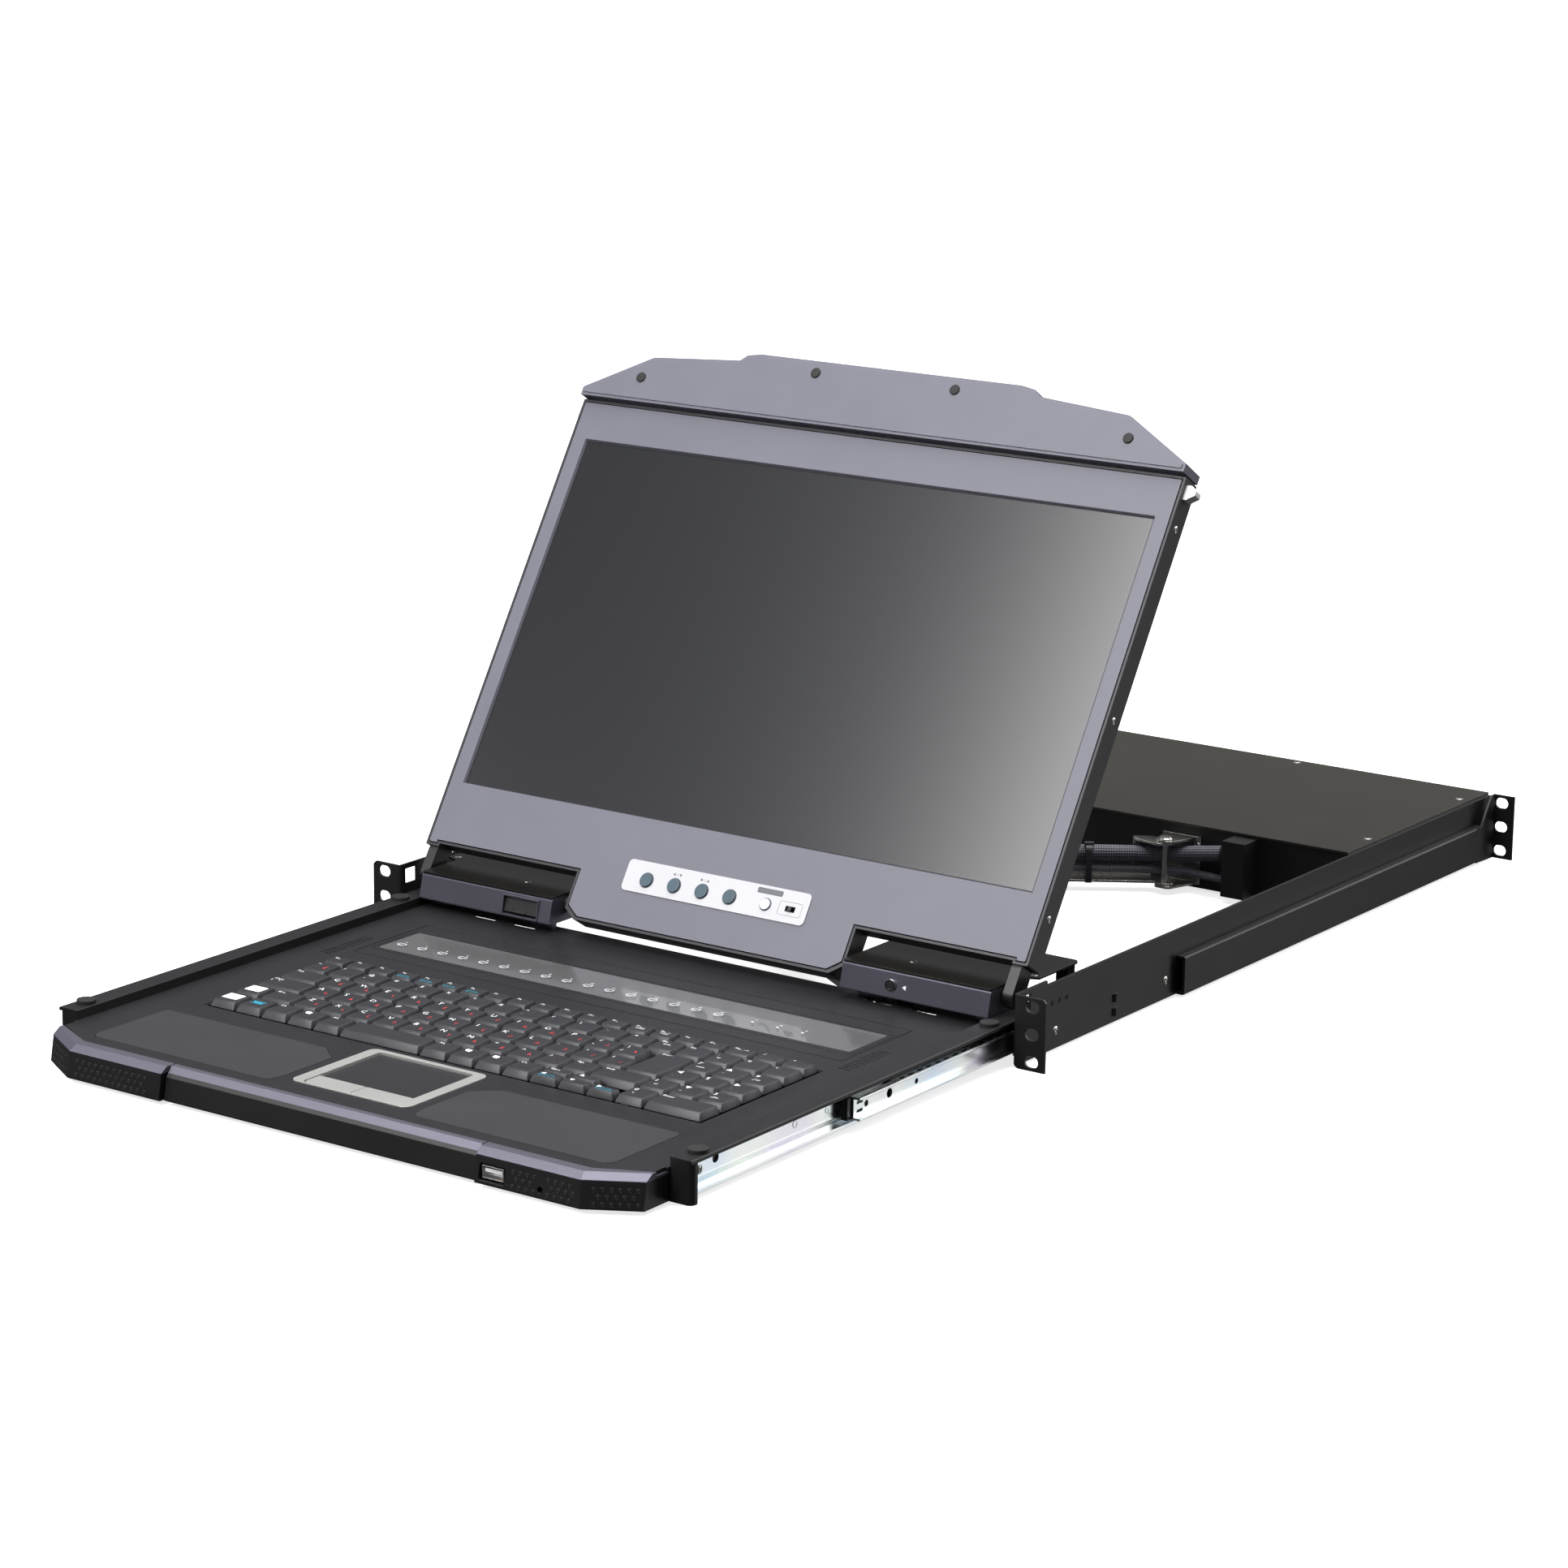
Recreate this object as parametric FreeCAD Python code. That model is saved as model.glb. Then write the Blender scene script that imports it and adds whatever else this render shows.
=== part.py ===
"""Rackmount LCD console drawer, one rack unit high, drawer pulled out and display raised.

Frame: origin midway between the front rack ears, on their front face, at the height of the
middle ear hole. +X right, +Y into the rack, +Z up. Millimetres.
"""
import FreeCAD, Part
import os
from math import atan2, cos, degrees, pi, radians, sin, sqrt, tan

V = FreeCAD.Vector
os.makedirs("parts", exist_ok=True)

# ---- rack interface -------------------------------------------------------------------------
EAR_SPAN = 482.6          # over both front ears
HOLE_EDGE = 8.74          # slot centre in from an ear's edge
HOLE_PITCH = 15.875       # rack hole pitch, up the rail
SLOT_LENGTH = 9.0
SLOT_WIDTH = 7.0
EAR_HEIGHT = 42.4
REAR_EAR_Y = 571.85       # front face of the rear ears

# ---- chassis --------------------------------------------------------------------------------
SHEET = 1.5               # steel sheet of the chassis
EAR_REACH = 19.5          # how far an ear stands out from its side panel
PANEL_BOTTOM = -20.5
PANEL_TOP = 18.7
TALL_FRONT = 33.0         # length of the side panel that is as tall as the ear
EAR_BEND_R = 2.3
CHASSIS_END_Y = 577.0
BOX_TOP = 20.5
BOX_FIT = 0.1             # rear box to side panel, each side
CATCH_FIT = 0.7           # window in the side panel round a catch

# ---- rear telescoping ears ------------------------------------------------------------------
CHANNEL_FRONT_Y = 175.0
CHANNEL_DEPTH = 4.2       # hollow depth of the channel
CHANNEL_TOP = 3.0
CHANNEL_HEIGHT = 23.3
CHANNEL_GAP = 0.3
FLARE_LENGTH = 17.0       # full-height end of the channel

# ---- slides ---------------------------------------------------------------------------------
TRAVEL = 300.0
SLIDE_Z = -8.4            # mid height of the slides
SLIDE_HEIGHT = 19.5
SLIDE_SHEET = 1.2
FLANGE_DEPTH = 6.2
LIP = 0.8
MIDDLE_HEIGHT = 12.7
BALL_R = 1.0
CAGE_SHEET = 0.5
INNER_FRONT_Y = -287.0
INNER_LENGTH = 330.0
MIDDLE_FRONT_Y = -145.6
MIDDLE_LENGTH = 300.0
OUTER_FRONT_Y = 10.2
OUTER_LENGTH = 373.0
OUTER_TO_BOX = 2.8        # slide's rear end to the front wall of the rear box
CAGE_FRONT_Y = -107.0
OUTER_CAGE_Y = 20.0
CAGE_GAP = 0.4
STOP_LENGTH = 4.0
CAGE_LENGTH = 118.0
BALLS = 4                 # balls in a lane

# ---- tray -----------------------------------------------------------------------------------
TRAY_GAP = 2.1            # tray to side panel, each side
RIM_WIDTH = 13.6
RIM_TOP = 4.1
TRAY_SHEET = 1.2
TRAY_BOTTOM = -20.0
DECK_TOP = -1.3
DECK_THICK = 2.2
RIM_FRONT_Y = -295.4
TRAY_REAR_Y = 14.8
GRIP_Y = -327.0           # back edge of the front grip's chamfer at its two ends
GRIP_CHAMFER_DEPTH = 4.2
GRIP_CHAMFER_DROP = 3.2
GRIP_SETIN = 13.9         # grip's end in from the tray's side
GRIP_CORNER_RUN = 29.8    # width of its slanted corner
GRIP_DEEP = 50.0
GRIP_BOTTOM = TRAY_BOTTOM + 0.3
GRIP_CORNER_RISE = 17.4
GRIP_LEAN = 2.4           # the front face leans forward towards its foot
MID_HALF = 107.0          # half width of the set-back middle of the grip
MID_SETBACK = 2.4
MID_CHAMFER_DROP = 5.5
BUMPER_R = 6.0
BUMPER_H = 2.0

# ---- keyboard -------------------------------------------------------------------------------
KEY_U = 19.0              # width of one key unit
KEY_ROW = 18.9            # row to row
TOP_ROW_DEPTH = 13.4
KEYS_X0 = -167.2
KEYS_Y0 = -229.6
KEY_GAP = 1.0
KEY_TOP = 2.6
KEY_HEIGHT = 4.4
KEY_DRAFT = 2.6           # how much narrower a key's top is on its front and back
KEY_DRAFT_X = 1.5
KEY_TRAVEL = 2.0
WELL_MARGIN = 2.2
WELL_FLOOR = -8.0
STEM_R = 2.4
GUIDE_TOP = KEY_TOP - KEY_HEIGHT - KEY_TRAVEL - 0.4

# ---- touchpad, palm pads, strip -------------------------------------------------------------
PAD_FRAME_HALF = 40.6
PAD_FRAME_Y = (-305.4, -235.8)
PAD_HALF = 32.3
PAD_Y = (-288.0, -240.0)
PAD_BUTTON_Y = (-303.0, -290.0)
PAD_BUTTON_TRAVEL = 0.8
PAD_FLOOR = DECK_TOP - 1.6
PALM_X0 = 47.5
PALM_MARGIN = 25.6        # palm pad to the rim
PALM_Y = (-311.6, -250.6)
PALM_DEPTH = 0.6
STRIP_X = (-166.8, 168.6)
STRIP_Y = (-83.8, -46.2)
STRIP_THICK = 1.0
VENT_MARGIN = 21.0        # vents in from the rim
VENT_Y = (-112.0, -70.6)
VENT_SLOTS = 12
VENT_SLOT = 1.3

# ---- hinge and display ----------------------------------------------------------------------
HINGE_Y = 17.0
HINGE_Z = 13.9
OPEN_ANGLE = 121.84
DISPLAY_FIT = 1.8         # display narrower than the tray, each side
DISPLAY_LENGTH = 298.3    # bottom edge to the visor
DISPLAY_THICK = 14.5
HINGE_DROP = 16.5         # hinge axis below the display's bottom edge
DISPLAY_WALL = 1.6
BEZEL_THICK = 1.8
BEZEL_GAP = 0.6
SCREEN_MARGIN = 12.5      # screen opening in from the display's sides
SCREEN_LOW = 42.5         # lower edge of the screen opening, up the panel
SCREEN_TOP_MARGIN = 26.9  # screen opening down from the display's top edge
LCD_MARGIN = 3.5
LCD_THICK = 6.5
CHIN_HALF = 100.4
CHIN_DROP = 27.0
CHIN_CHAMFER = 8.5
CUT_OUT = 1.8             # clearance cut over the hinge boxes
CUT_FIT = 2.0
VISOR_PROUD = 5.6
VISOR_GAP = 0.9
VISOR_SHOULDER = 30.0
VISOR_CORNER = 45.4       # width of the visor's sloped corner
VISOR_MID = 93.3
VISOR_RIM = 1.8
PIN_R = 4.0
PIN_FIT = 0.06
ARM_THICK = 6.6
ARM_GAP = 1.2
ARM_R = 8.2

# ---- hinge boxes ----------------------------------------------------------------------------
HBOX_X0 = 104.6
HBOX_SETIN = 14.0         # hinge box's outer end in from the tray's side
HBOX_TOP = 20.2
HBOX_BOTTOM = 3.7
HBOX_FRONT_TOP_Y = 2.3
HBOX_FRONT_LEAN = 3.6
HBOX_REAR_Y = 34.0
HBOX_WALL = 1.6
LID_REAR_Y = 81.4
LID_SETIN = 5.0
LID_THICK = 1.2
FOOT_LENGTH = 16.0
FLAP_X = (-140.0, -114.6)
FLAP_Z = (5.6, 16.2)
FLAP_THICK = 1.4
FLAP_ANGLE = 18.0
FLAP_SETBACK = 1.9
FLAP_PIN_R = 0.7
JACK_X = 138.5
JACK_Z = 11.2
JACK_R = 3.6

# ---- buttons on the display -----------------------------------------------------------------
PLATE_HALF = 65.6
PLATE_S = (-3.6, 16.0)
PLATE_THICK = 0.6
BUTTON_S = 4.8
MENU_X = (-49.4, -29.4, -9.4, 10.7)
MENU_R = 4.1
POWER_X = 36.4
POWER_R = 3.3
SWITCH_X = 53.7
SWITCH_TRAVEL = 2.0
BUTTON_PROUD = 1.0
BUTTON_TRAVEL = 0.8
BUTTON_FIT = 0.25
FLANGE_R = 1.0            # how much wider a button's hidden flange is
CATCH_TOP_MARGIN = 3.8    # catch down from the display's top edge
CATCH_WIDTH = 9.0
CATCH_OFF = (-10.0, -3.6)
CATCH_PROUD = 7.1
CATCH_LENGTH = 17.0
CATCH_TRAVEL = 6.0

# ---- cable arm ------------------------------------------------------------------------------
ARM_X = 100.0             # both end pivots lie in one plane across the chassis
WALL_PIVOT_SETOFF = 18.0  # wall pivot in front of the rear box
TRAY_PIVOT_Y = 46.0
LINK_LENGTH = 290.0
LINK_WIDTH = 13.4
LINK_SHEET = 1.5
LINK_FLOOR_Z = -16.2
PIVOT_R = 2.0
LUG_R = 6.0
CABLE_R = 5.0
CABLE_Z = 1.6
THIN_R = 2.6
THIN_Z = -8.4
CABLE_OFFSET = 7.4
GROMMET_X = 140.0
GROMMET_SETOFF = 8.4      # cable entry's centre in front of the rear box
GROMMET_Z = 8.1
TIE_WIDTH = 4.0
TIE_THICK = 1.0
SLACK = 9.0               # play of the tray-end pivot in its slot
TUBE_SIDES = 12

# ---- rear panel -----------------------------------------------------------------------------
PORT_COUNT = 8            # ports in each of two rows
PORT_PITCH = 34.0
PORT_SIZE = (18.2, 9.2)
PORT_ROW_Z = (-9.6, 9.2)
PORT_SETIN = 24.3
INLET_SETIN = 42.3
INLET_SIZE = (27.0, 20.0)
INLET_WALL = (1.5, 2.0)   # wall of the inlet, at its sides and its top
INLET_DEEP = 20.0
INLET_HOLLOW = 16.0       # depth of its hollow
INLET_RIM = 2.0
PIN_PITCH = 7.0
ROCKER_SETIN = 78.3
ROCKER_SIZE = (12.6, 18.6)
ROCKER_DEPTH = 3.4        # pivot behind the panel's face
ROCKER_PIN_R = 1.2

# ---- derived --------------------------------------------------------------------------------
HOLE_SPAN = EAR_SPAN - 2 * HOLE_EDGE
HALF_OUT = EAR_SPAN / 2 - EAR_REACH
HALF_IN = HALF_OUT - SHEET
TRAY_HALF = HALF_IN - TRAY_GAP
GRIP_HALF = TRAY_HALF - GRIP_SETIN
GRIP_CORNER_X = GRIP_HALF - GRIP_CORNER_RUN
GRIP_CORNER_Y = GRIP_Y + GRIP_CORNER_RISE
DISPLAY_HALF = TRAY_HALF - DISPLAY_FIT
SCREEN_HALF = DISPLAY_HALF - SCREEN_MARGIN
HBOX_X = (HBOX_X0, TRAY_HALF - HBOX_SETIN)
LID_X1 = TRAY_HALF - LID_SETIN
CUT_HALF = HBOX_X[1] + CUT_FIT
CATCH_TIP = DISPLAY_HALF + CATCH_PROUD
CATCH_S = (DISPLAY_LENGTH - CATCH_TOP_MARGIN - CATCH_WIDTH, DISPLAY_LENGTH - CATCH_TOP_MARGIN)
SCREEN_S = (SCREEN_LOW, DISPLAY_LENGTH - SCREEN_TOP_MARGIN)
BOX_FRONT_Y = OUTER_FRONT_Y + OUTER_LENGTH + OUTER_TO_BOX
WALL_PIVOT_Y = BOX_FRONT_Y - WALL_PIVOT_SETOFF
GROMMET_Y = BOX_FRONT_Y - GROMMET_SETOFF
PORT_X0 = PORT_SETIN - HALF_IN
INLET_X = HALF_IN - INLET_SETIN
ROCKER_X = HALF_IN - ROCKER_SETIN
RIM_INNER = TRAY_HALF - RIM_WIDTH
WALL_X = RIM_INNER + TRAY_SHEET
PALM_X = (PALM_X0, RIM_INNER - PALM_MARGIN)
VENT_X = RIM_INNER - VENT_MARGIN
SLIDE_TOP = SLIDE_Z + SLIDE_HEIGHT / 2
SLIDE_BOTTOM = SLIDE_Z - SLIDE_HEIGHT / 2
MIDDLE_TOP = SLIDE_Z + MIDDLE_HEIGHT / 2
MIDDLE_BOTTOM = SLIDE_Z - MIDDLE_HEIGHT / 2
TILT = OPEN_ANGLE - 90
HALF_THICK = DISPLAY_THICK / 2
VENT_S = DISPLAY_LENGTH - 62
KEYS_WIDTH = 18 * KEY_U
KEYS_DEPTH = 5 * KEY_ROW + TOP_ROW_DEPTH
CHANNEL_BOTTOM = CHANNEL_TOP - CHANNEL_HEIGHT
LINK_ANGLE = atan2(1, sqrt((2 * LINK_LENGTH / (WALL_PIVOT_Y - TRAY_PIVOT_Y)) ** 2 - 1))
PANEL_DIR = V(0, sin(radians(TILT)), cos(radians(TILT)))
PANEL_OUT = V(0, -cos(radians(TILT)), sin(radians(TILT)))
PANEL_ORIGIN = V(0, HINGE_Y, HINGE_Z) + PANEL_DIR * HINGE_DROP + PANEL_OUT * HALF_THICK


# ---- shape helpers --------------------------------------------------------------------------
def box(x0, x1, y0, y1, z0, z1):
    """Box between two corners, given in any order."""
    lo = V(min(x0, x1), min(y0, y1), min(z0, z1))
    return Part.makeBox(abs(x1 - x0), abs(y1 - y0), abs(z1 - z0), lo)


def rod(start, direction, radius, length):
    return Part.makeCylinder(radius, length, V(*start), V(*direction))


PLANES = {
    "xy": (lambda u, v, w: V(u, v, w), V(0, 0, 1)),
    "xz": (lambda u, v, w: V(u, w, v), V(0, 1, 0)),
    "yz": (lambda u, v, w: V(w, u, v), V(1, 0, 0)),
}


def outline(points, plane, at):
    """Closed wire through (u, v) or (u, v, corner radius) points."""
    place = PLANES[plane][0]
    flat = [(p[0], p[1], p[2] if len(p) > 2 else 0.0) for p in points]
    count = len(flat)
    edges = []
    starts = []
    for i, (u, v, r) in enumerate(flat):
        here = V(u, v, 0)
        before = (V(*flat[i - 1][:2], 0) - here).normalize()
        after = (V(*flat[(i + 1) % count][:2], 0) - here).normalize()
        if r <= 0:
            starts.append((here, here, None))
            continue
        half = before.getAngle(after) / 2
        reach = r / tan(half)
        middle = here + (before + after).normalize() * (r / sin(half) - r)
        starts.append((here + before * reach, here + after * reach, middle))
    for i, (a, b, middle) in enumerate(starts):
        if middle is not None:
            ends = [place(q.x, q.y, at) for q in (a, middle, b)]
            edges.append(Part.Arc(*ends).toShape())
        following = starts[(i + 1) % count][0]
        if (following - b).Length > 1e-6:
            edges.append(Part.LineSegment(place(b.x, b.y, at), place(following.x, following.y, at)).toShape())
    return Part.Wire(edges)


def prism(points, plane, w0, w1):
    """Outline extruded from w0 to w1 along the plane's normal."""
    face = Part.Face(outline(points, plane, min(w0, w1)))
    return face.extrude(PLANES[plane][1] * abs(w1 - w0))


def rect(u0, u1, v0, v1, r=0.0):
    return [(u0, v0, r), (u1, v0, r), (u1, v1, r), (u0, v1, r)]


def loft(lower, upper, plane, w0, w1):
    return Part.makeLoft([outline(lower, plane, w0), outline(upper, plane, w1)], True)


def mirror(shape):
    return shape.mirror(V(0, 0, 0), V(1, 0, 0))


def both(shape):
    """The shape and its mirror image, as one group."""
    return Part.makeCompound(solids(shape) + solids(mirror(shape)))


def solids(shape):
    return list(shape.Solids)


def group(*shapes):
    return Part.makeCompound([one for shape in shapes for one in solids(shape)])


def fuse(first, *others):
    result = first
    for other in others:
        result = result.fuse(other)
    return result.removeSplitter()


def slot(x, y, z, length, width, depth):
    """Cutter for a slot that runs along X through a face square to Y."""
    r = width / 2
    a = length / 2
    return prism(rect(x - a, x + a, z - r, z + r, r - 0.001), "xz", y, y + depth)


def on_panel(shape):
    """Moves a piece drawn flat (x, along the display, out of its face) onto the raised display."""
    turned = shape.copy()
    turned.rotate(V(0, 0, 0), V(1, 0, 0), 90 - TILT)
    turned.translate(PANEL_ORIGIN)
    return turned


def tube(points, radius, share=0.45):
    """Round tube along straight runs that are joined by tangent arcs."""
    pts = [V(*p) for p in points]
    edges = []
    last = pts[0]
    for i in range(1, len(pts) - 1):
        back = pts[i - 1] - pts[i]
        ahead = pts[i + 1] - pts[i]
        shorter = min(back.Length, ahead.Length)
        turn = pi - back.getAngle(ahead)
        reach = share * shorter
        bend = reach / tan(turn / 2)
        a = pts[i] + back.normalize() * reach
        b = pts[i] + ahead.normalize() * reach
        towards = (a + b) * 0.5 - pts[i]
        middle = pts[i] + towards.normalize() * (bend / cos(turn / 2) - bend)
        edges.append(Part.LineSegment(last, a).toShape())
        edges.append(Part.Arc(a, middle, b).toShape())
        last = b
    edges.append(Part.LineSegment(last, pts[-1]).toShape())
    path = Part.Wire(edges)
    first = (pts[1] - pts[0]).normalize()
    across = first.cross(V(0, 0, 1)).normalize()
    up = across.cross(first)
    corners = [pts[0] + (across * cos(2 * pi * k / TUBE_SIDES) + up * sin(2 * pi * k / TUBE_SIDES)) * radius
               for k in range(TUBE_SIDES)]
    ring = Part.Wire(Part.makePolygon(corners + corners[:1]).Edges)
    return path.makePipeShell([ring], True, False)


NODES = {}


def node(name, shape):
    NODES[name] = shape


# ---- chassis --------------------------------------------------------------------------------
def ear_holes(x, y, depth):
    cuts = [slot(x, y - 1, k * HOLE_PITCH, SLOT_LENGTH, SLOT_WIDTH, depth + 2) for k in (-1, 0, 1)]
    return group(*cuts)


def chassis_side():
    """Right side panel, folded out into the front ear."""
    ear_x = EAR_SPAN / 2
    half = EAR_HEIGHT / 2
    folded = prism([(HALF_IN, 0, EAR_BEND_R), (ear_x, 0), (ear_x, SHEET),
                    (HALF_OUT, SHEET, EAR_BEND_R - SHEET), (HALF_OUT, CHASSIS_END_Y),
                    (HALF_IN, CHASSIS_END_Y)], "xy", -half, half)
    folded = folded.cut(box(HALF_IN - 1, HALF_OUT + 1, TALL_FRONT, CHASSIS_END_Y + 1, PANEL_TOP, half + 1))
    folded = folded.cut(box(HALF_IN - 1, HALF_OUT + 1, SHEET + 2, CHASSIS_END_Y + 1, -half - 1, PANEL_BOTTOM))
    corner = prism([(ear_x - 2, half), (ear_x + 1, half - 3 + 0.01),
                    (ear_x + 1, half + 1), (ear_x - 2, half + 1)],
                   "xz", -1, SHEET + 1)
    low = prism([(HALF_IN - 1, -half - 1), (HALF_IN + 3.5, -half - 1), (HALF_IN + 3.5, -half),
                 (HALF_IN - 1, -half + 3)], "xz", -1, SHEET + 1)
    folded = folded.cut(corner).cut(low)
    folded = folded.cut(ear_holes(HOLE_SPAN / 2, 0, SHEET))
    window_y = catch_closed_y()
    window = box(HALF_IN - 1, HALF_OUT + 1, window_y[0] - CATCH_FIT, window_y[1] + CATCH_FIT,
                 catch_closed_z()[0] - 2 * CATCH_FIT, catch_closed_z()[1] + 2 * CATCH_FIT)
    folded = folded.cut(window)
    for k in range(3):
        folded = folded.cut(rod((HALF_IN - 1, 38.2 + 7.7 * k, 6.7), (1, 0, 0), 1.5, SHEET + 2))
    for z in (-5.8, -14.2):
        bump = prism([(HALF_OUT - 0.2, 103), (HALF_OUT + 1.8, 105, 1), (HALF_OUT + 1.8, 107.5, 1),
                      (HALF_OUT - 0.2, 109.5)], "xy", z - 2.4, z + 2.4)
        folded = folded.fuse(bump)
    return folded.removeSplitter()


def closed_y(s):
    """Y of a point of the display, s from its bottom edge, when it is folded down."""
    return HINGE_Y - HINGE_DROP - s


def closed_z(off):
    return HINGE_Z - HALF_THICK - off


def catch_closed_y():
    return (closed_y(CATCH_S[1]) + TRAVEL, closed_y(CATCH_S[0]) + TRAVEL)


def catch_closed_z():
    return (closed_z(CATCH_OFF[1]), closed_z(CATCH_OFF[0]))


def rear_bracket():
    """Right telescoping channel with the rear ear."""
    web_in = HALF_OUT + CHANNEL_GAP + CHANNEL_DEPTH
    web_out = web_in + SHEET
    half = EAR_HEIGHT / 2
    end_y = REAR_EAR_Y + SHEET
    profile = [(HALF_OUT + CHANNEL_GAP, CHANNEL_TOP - SHEET), (web_in, CHANNEL_TOP - SHEET),
               (web_in, CHANNEL_BOTTOM + SHEET), (HALF_OUT + CHANNEL_GAP, CHANNEL_BOTTOM + SHEET),
               (HALF_OUT + CHANNEL_GAP, CHANNEL_BOTTOM), (web_out, CHANNEL_BOTTOM, 1.4),
               (web_out, CHANNEL_TOP, 1.4), (HALF_OUT + CHANNEL_GAP, CHANNEL_TOP)]
    channel = prism(profile, "xz", CHANNEL_FRONT_Y, end_y - FLARE_LENGTH)
    flare = prism([(end_y - FLARE_LENGTH - 8, CHANNEL_BOTTOM), (end_y, -half), (end_y, half),
                   (end_y - 6, half), (end_y - FLARE_LENGTH - 2, CHANNEL_TOP),
                   (end_y - FLARE_LENGTH - 8, CHANNEL_TOP)], "yz", web_in, web_out)
    ear = box(web_in, EAR_SPAN / 2, REAR_EAR_Y, end_y, -half, half)
    ear = ear.cut(ear_holes(HOLE_SPAN / 2, REAR_EAR_Y, SHEET))
    return fuse(channel, flare, ear)


def slide_channel(x0, direction, y0, length):
    """C section with its web at x0, flanges along direction and tips turned in over the balls."""
    d = direction
    t = SLIDE_SHEET
    top = SLIDE_TOP
    low = SLIDE_BOTTOM
    edge = x0 + d * FLANGE_DEPTH
    profile = [(x0, low), (edge, low), (edge, low + t + LIP), (edge - d * LIP, low + t + LIP),
               (edge - d * LIP, low + t), (x0 + d * t, low + t), (x0 + d * t, top - t),
               (edge - d * LIP, top - t), (edge - d * LIP, top - t - LIP),
               (edge, top - t - LIP), (edge, top), (x0, top)]
    return prism(profile, "xz", y0, y0 + length)


def slide_inner():
    """Right member on the tray."""
    member = slide_channel(WALL_X, 1, INNER_FRONT_Y, INNER_LENGTH)
    for along in (27.0, 290.0):
        member = member.cut(rod((WALL_X - 1, INNER_FRONT_Y + along, SLIDE_Z + 2.6), (1, 0, 0), 2.6, 4))
    return member


def slide_outer():
    """Right member on the chassis."""
    return slide_channel(HALF_IN, -1, OUTER_FRONT_Y, OUTER_LENGTH)


def middle_x():
    gap = (HALF_IN - WALL_X) / 2
    return WALL_X + gap


def slide_middle():
    """Right middle member: an H section between the two channels."""
    x = middle_x()
    t = SLIDE_SHEET / 2
    reach = (HALF_IN - WALL_X) / 2 - SLIDE_SHEET - CAGE_GAP - CAGE_SHEET - 0.5
    top = MIDDLE_TOP
    low = MIDDLE_BOTTOM
    profile = [(x - reach, low), (x + reach, low), (x + reach, low + 2 * t), (x + t, low + 2 * t),
               (x + t, top - 2 * t), (x + reach, top - 2 * t), (x + reach, top), (x - reach, top),
               (x - reach, top - 2 * t), (x - t, top - 2 * t), (x - t, low + 2 * t), (x - reach, low + 2 * t)]
    member = prism(profile, "xz", MIDDLE_FRONT_Y, MIDDLE_FRONT_Y + MIDDLE_LENGTH)
    for along, radius in ((12.0, 1.8), (34.0, 2.6), (60.0, 1.5)):
        member = member.cut(rod((x - 3, MIDDLE_FRONT_Y + along, SLIDE_Z), (1, 0, 0), radius, 6))
    for z in (SLIDE_Z - 2.4, SLIDE_Z + 2.4):
        cut = box(x - 3, x + 3, MIDDLE_FRONT_Y + 3, MIDDLE_FRONT_Y + 8.5, z - 0.9, z + 0.9)
        member = member.cut(cut)
    return member


def ball_cage(y0):
    """Right cage: a thin C section that spaces the balls between tray and middle member."""
    x0 = WALL_X + SLIDE_SHEET + CAGE_GAP
    depth = FLANGE_DEPTH - SLIDE_SHEET - CAGE_GAP - LIP - 0.2
    lane = (SLIDE_TOP - SLIDE_SHEET + MIDDLE_TOP) / 2 - SLIDE_Z
    t = CAGE_SHEET
    half = lane + t / 2
    profile = [(x0, SLIDE_Z - half), (x0 + depth, SLIDE_Z - half), (x0 + depth, SLIDE_Z - half + t),
               (x0 + t, SLIDE_Z - half + t), (x0 + t, SLIDE_Z + half - t), (x0 + depth, SLIDE_Z + half - t),
               (x0 + depth, SLIDE_Z + half), (x0, SLIDE_Z + half)]
    cage = prism(profile, "xz", y0, y0 + CAGE_LENGTH)
    pitch = (CAGE_LENGTH - 10) / (BALLS - 1)
    centres = [V(x0 + depth - BALL_R - 0.1, y0 + 5 + k * pitch, SLIDE_Z + side * lane)
               for side in (-1, 1) for k in range(BALLS)]
    return cage.fuse([ball(centre) for centre in centres])


def ball(centre):
    """Faceted ball: six-sided, largest round its middle."""
    wires = []
    for height, radius in ((-BALL_R, 0.4 * BALL_R), (0, BALL_R), (BALL_R, 0.4 * BALL_R)):
        ring = [(centre.x + radius * cos(k * pi / 3), centre.y + radius * sin(k * pi / 3)) for k in range(6)]
        wires.append(outline(ring, "xy", centre.z + height))
    return Part.makeLoft(wires, True, True)


def outer_cage():
    """The same cage turned round, between the middle member and the chassis."""
    cage = ball_cage(OUTER_CAGE_Y)
    return cage.mirror(V(middle_x(), 0, 0), V(1, 0, 0))


def slide_stop():
    """Plastic stop on the front end of the right middle member."""
    return box(middle_x() - 4.8, middle_x() - SLIDE_SHEET / 2, MIDDLE_FRONT_Y - STOP_LENGTH, MIDDLE_FRONT_Y,
               MIDDLE_BOTTOM + 0.2, MIDDLE_TOP - 0.2)


def rear_box():
    """Base of the rear box: floor, side walls and front wall with the cable entry."""
    half = HALF_IN - BOX_FIT
    top = BOX_TOP - SHEET
    shell = box(-half, half, BOX_FRONT_Y, CHASSIS_END_Y, PANEL_BOTTOM, top)
    inside = box(-half + SHEET, half - SHEET, BOX_FRONT_Y + SHEET, CHASSIS_END_Y + 1,
                 PANEL_BOTTOM + SHEET, top + 1)
    shell = shell.cut(inside)
    entry = box(GROMMET_X, GROMMET_X + 16, BOX_FRONT_Y - 17, BOX_FRONT_Y, GROMMET_Z - 26, GROMMET_Z + 10)
    entry = entry.cut(rod((GROMMET_X - 1, GROMMET_Y, GROMMET_Z), (1, 0, 0), CABLE_R + 1.6, 15))
    return fuse(shell, entry)


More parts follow.
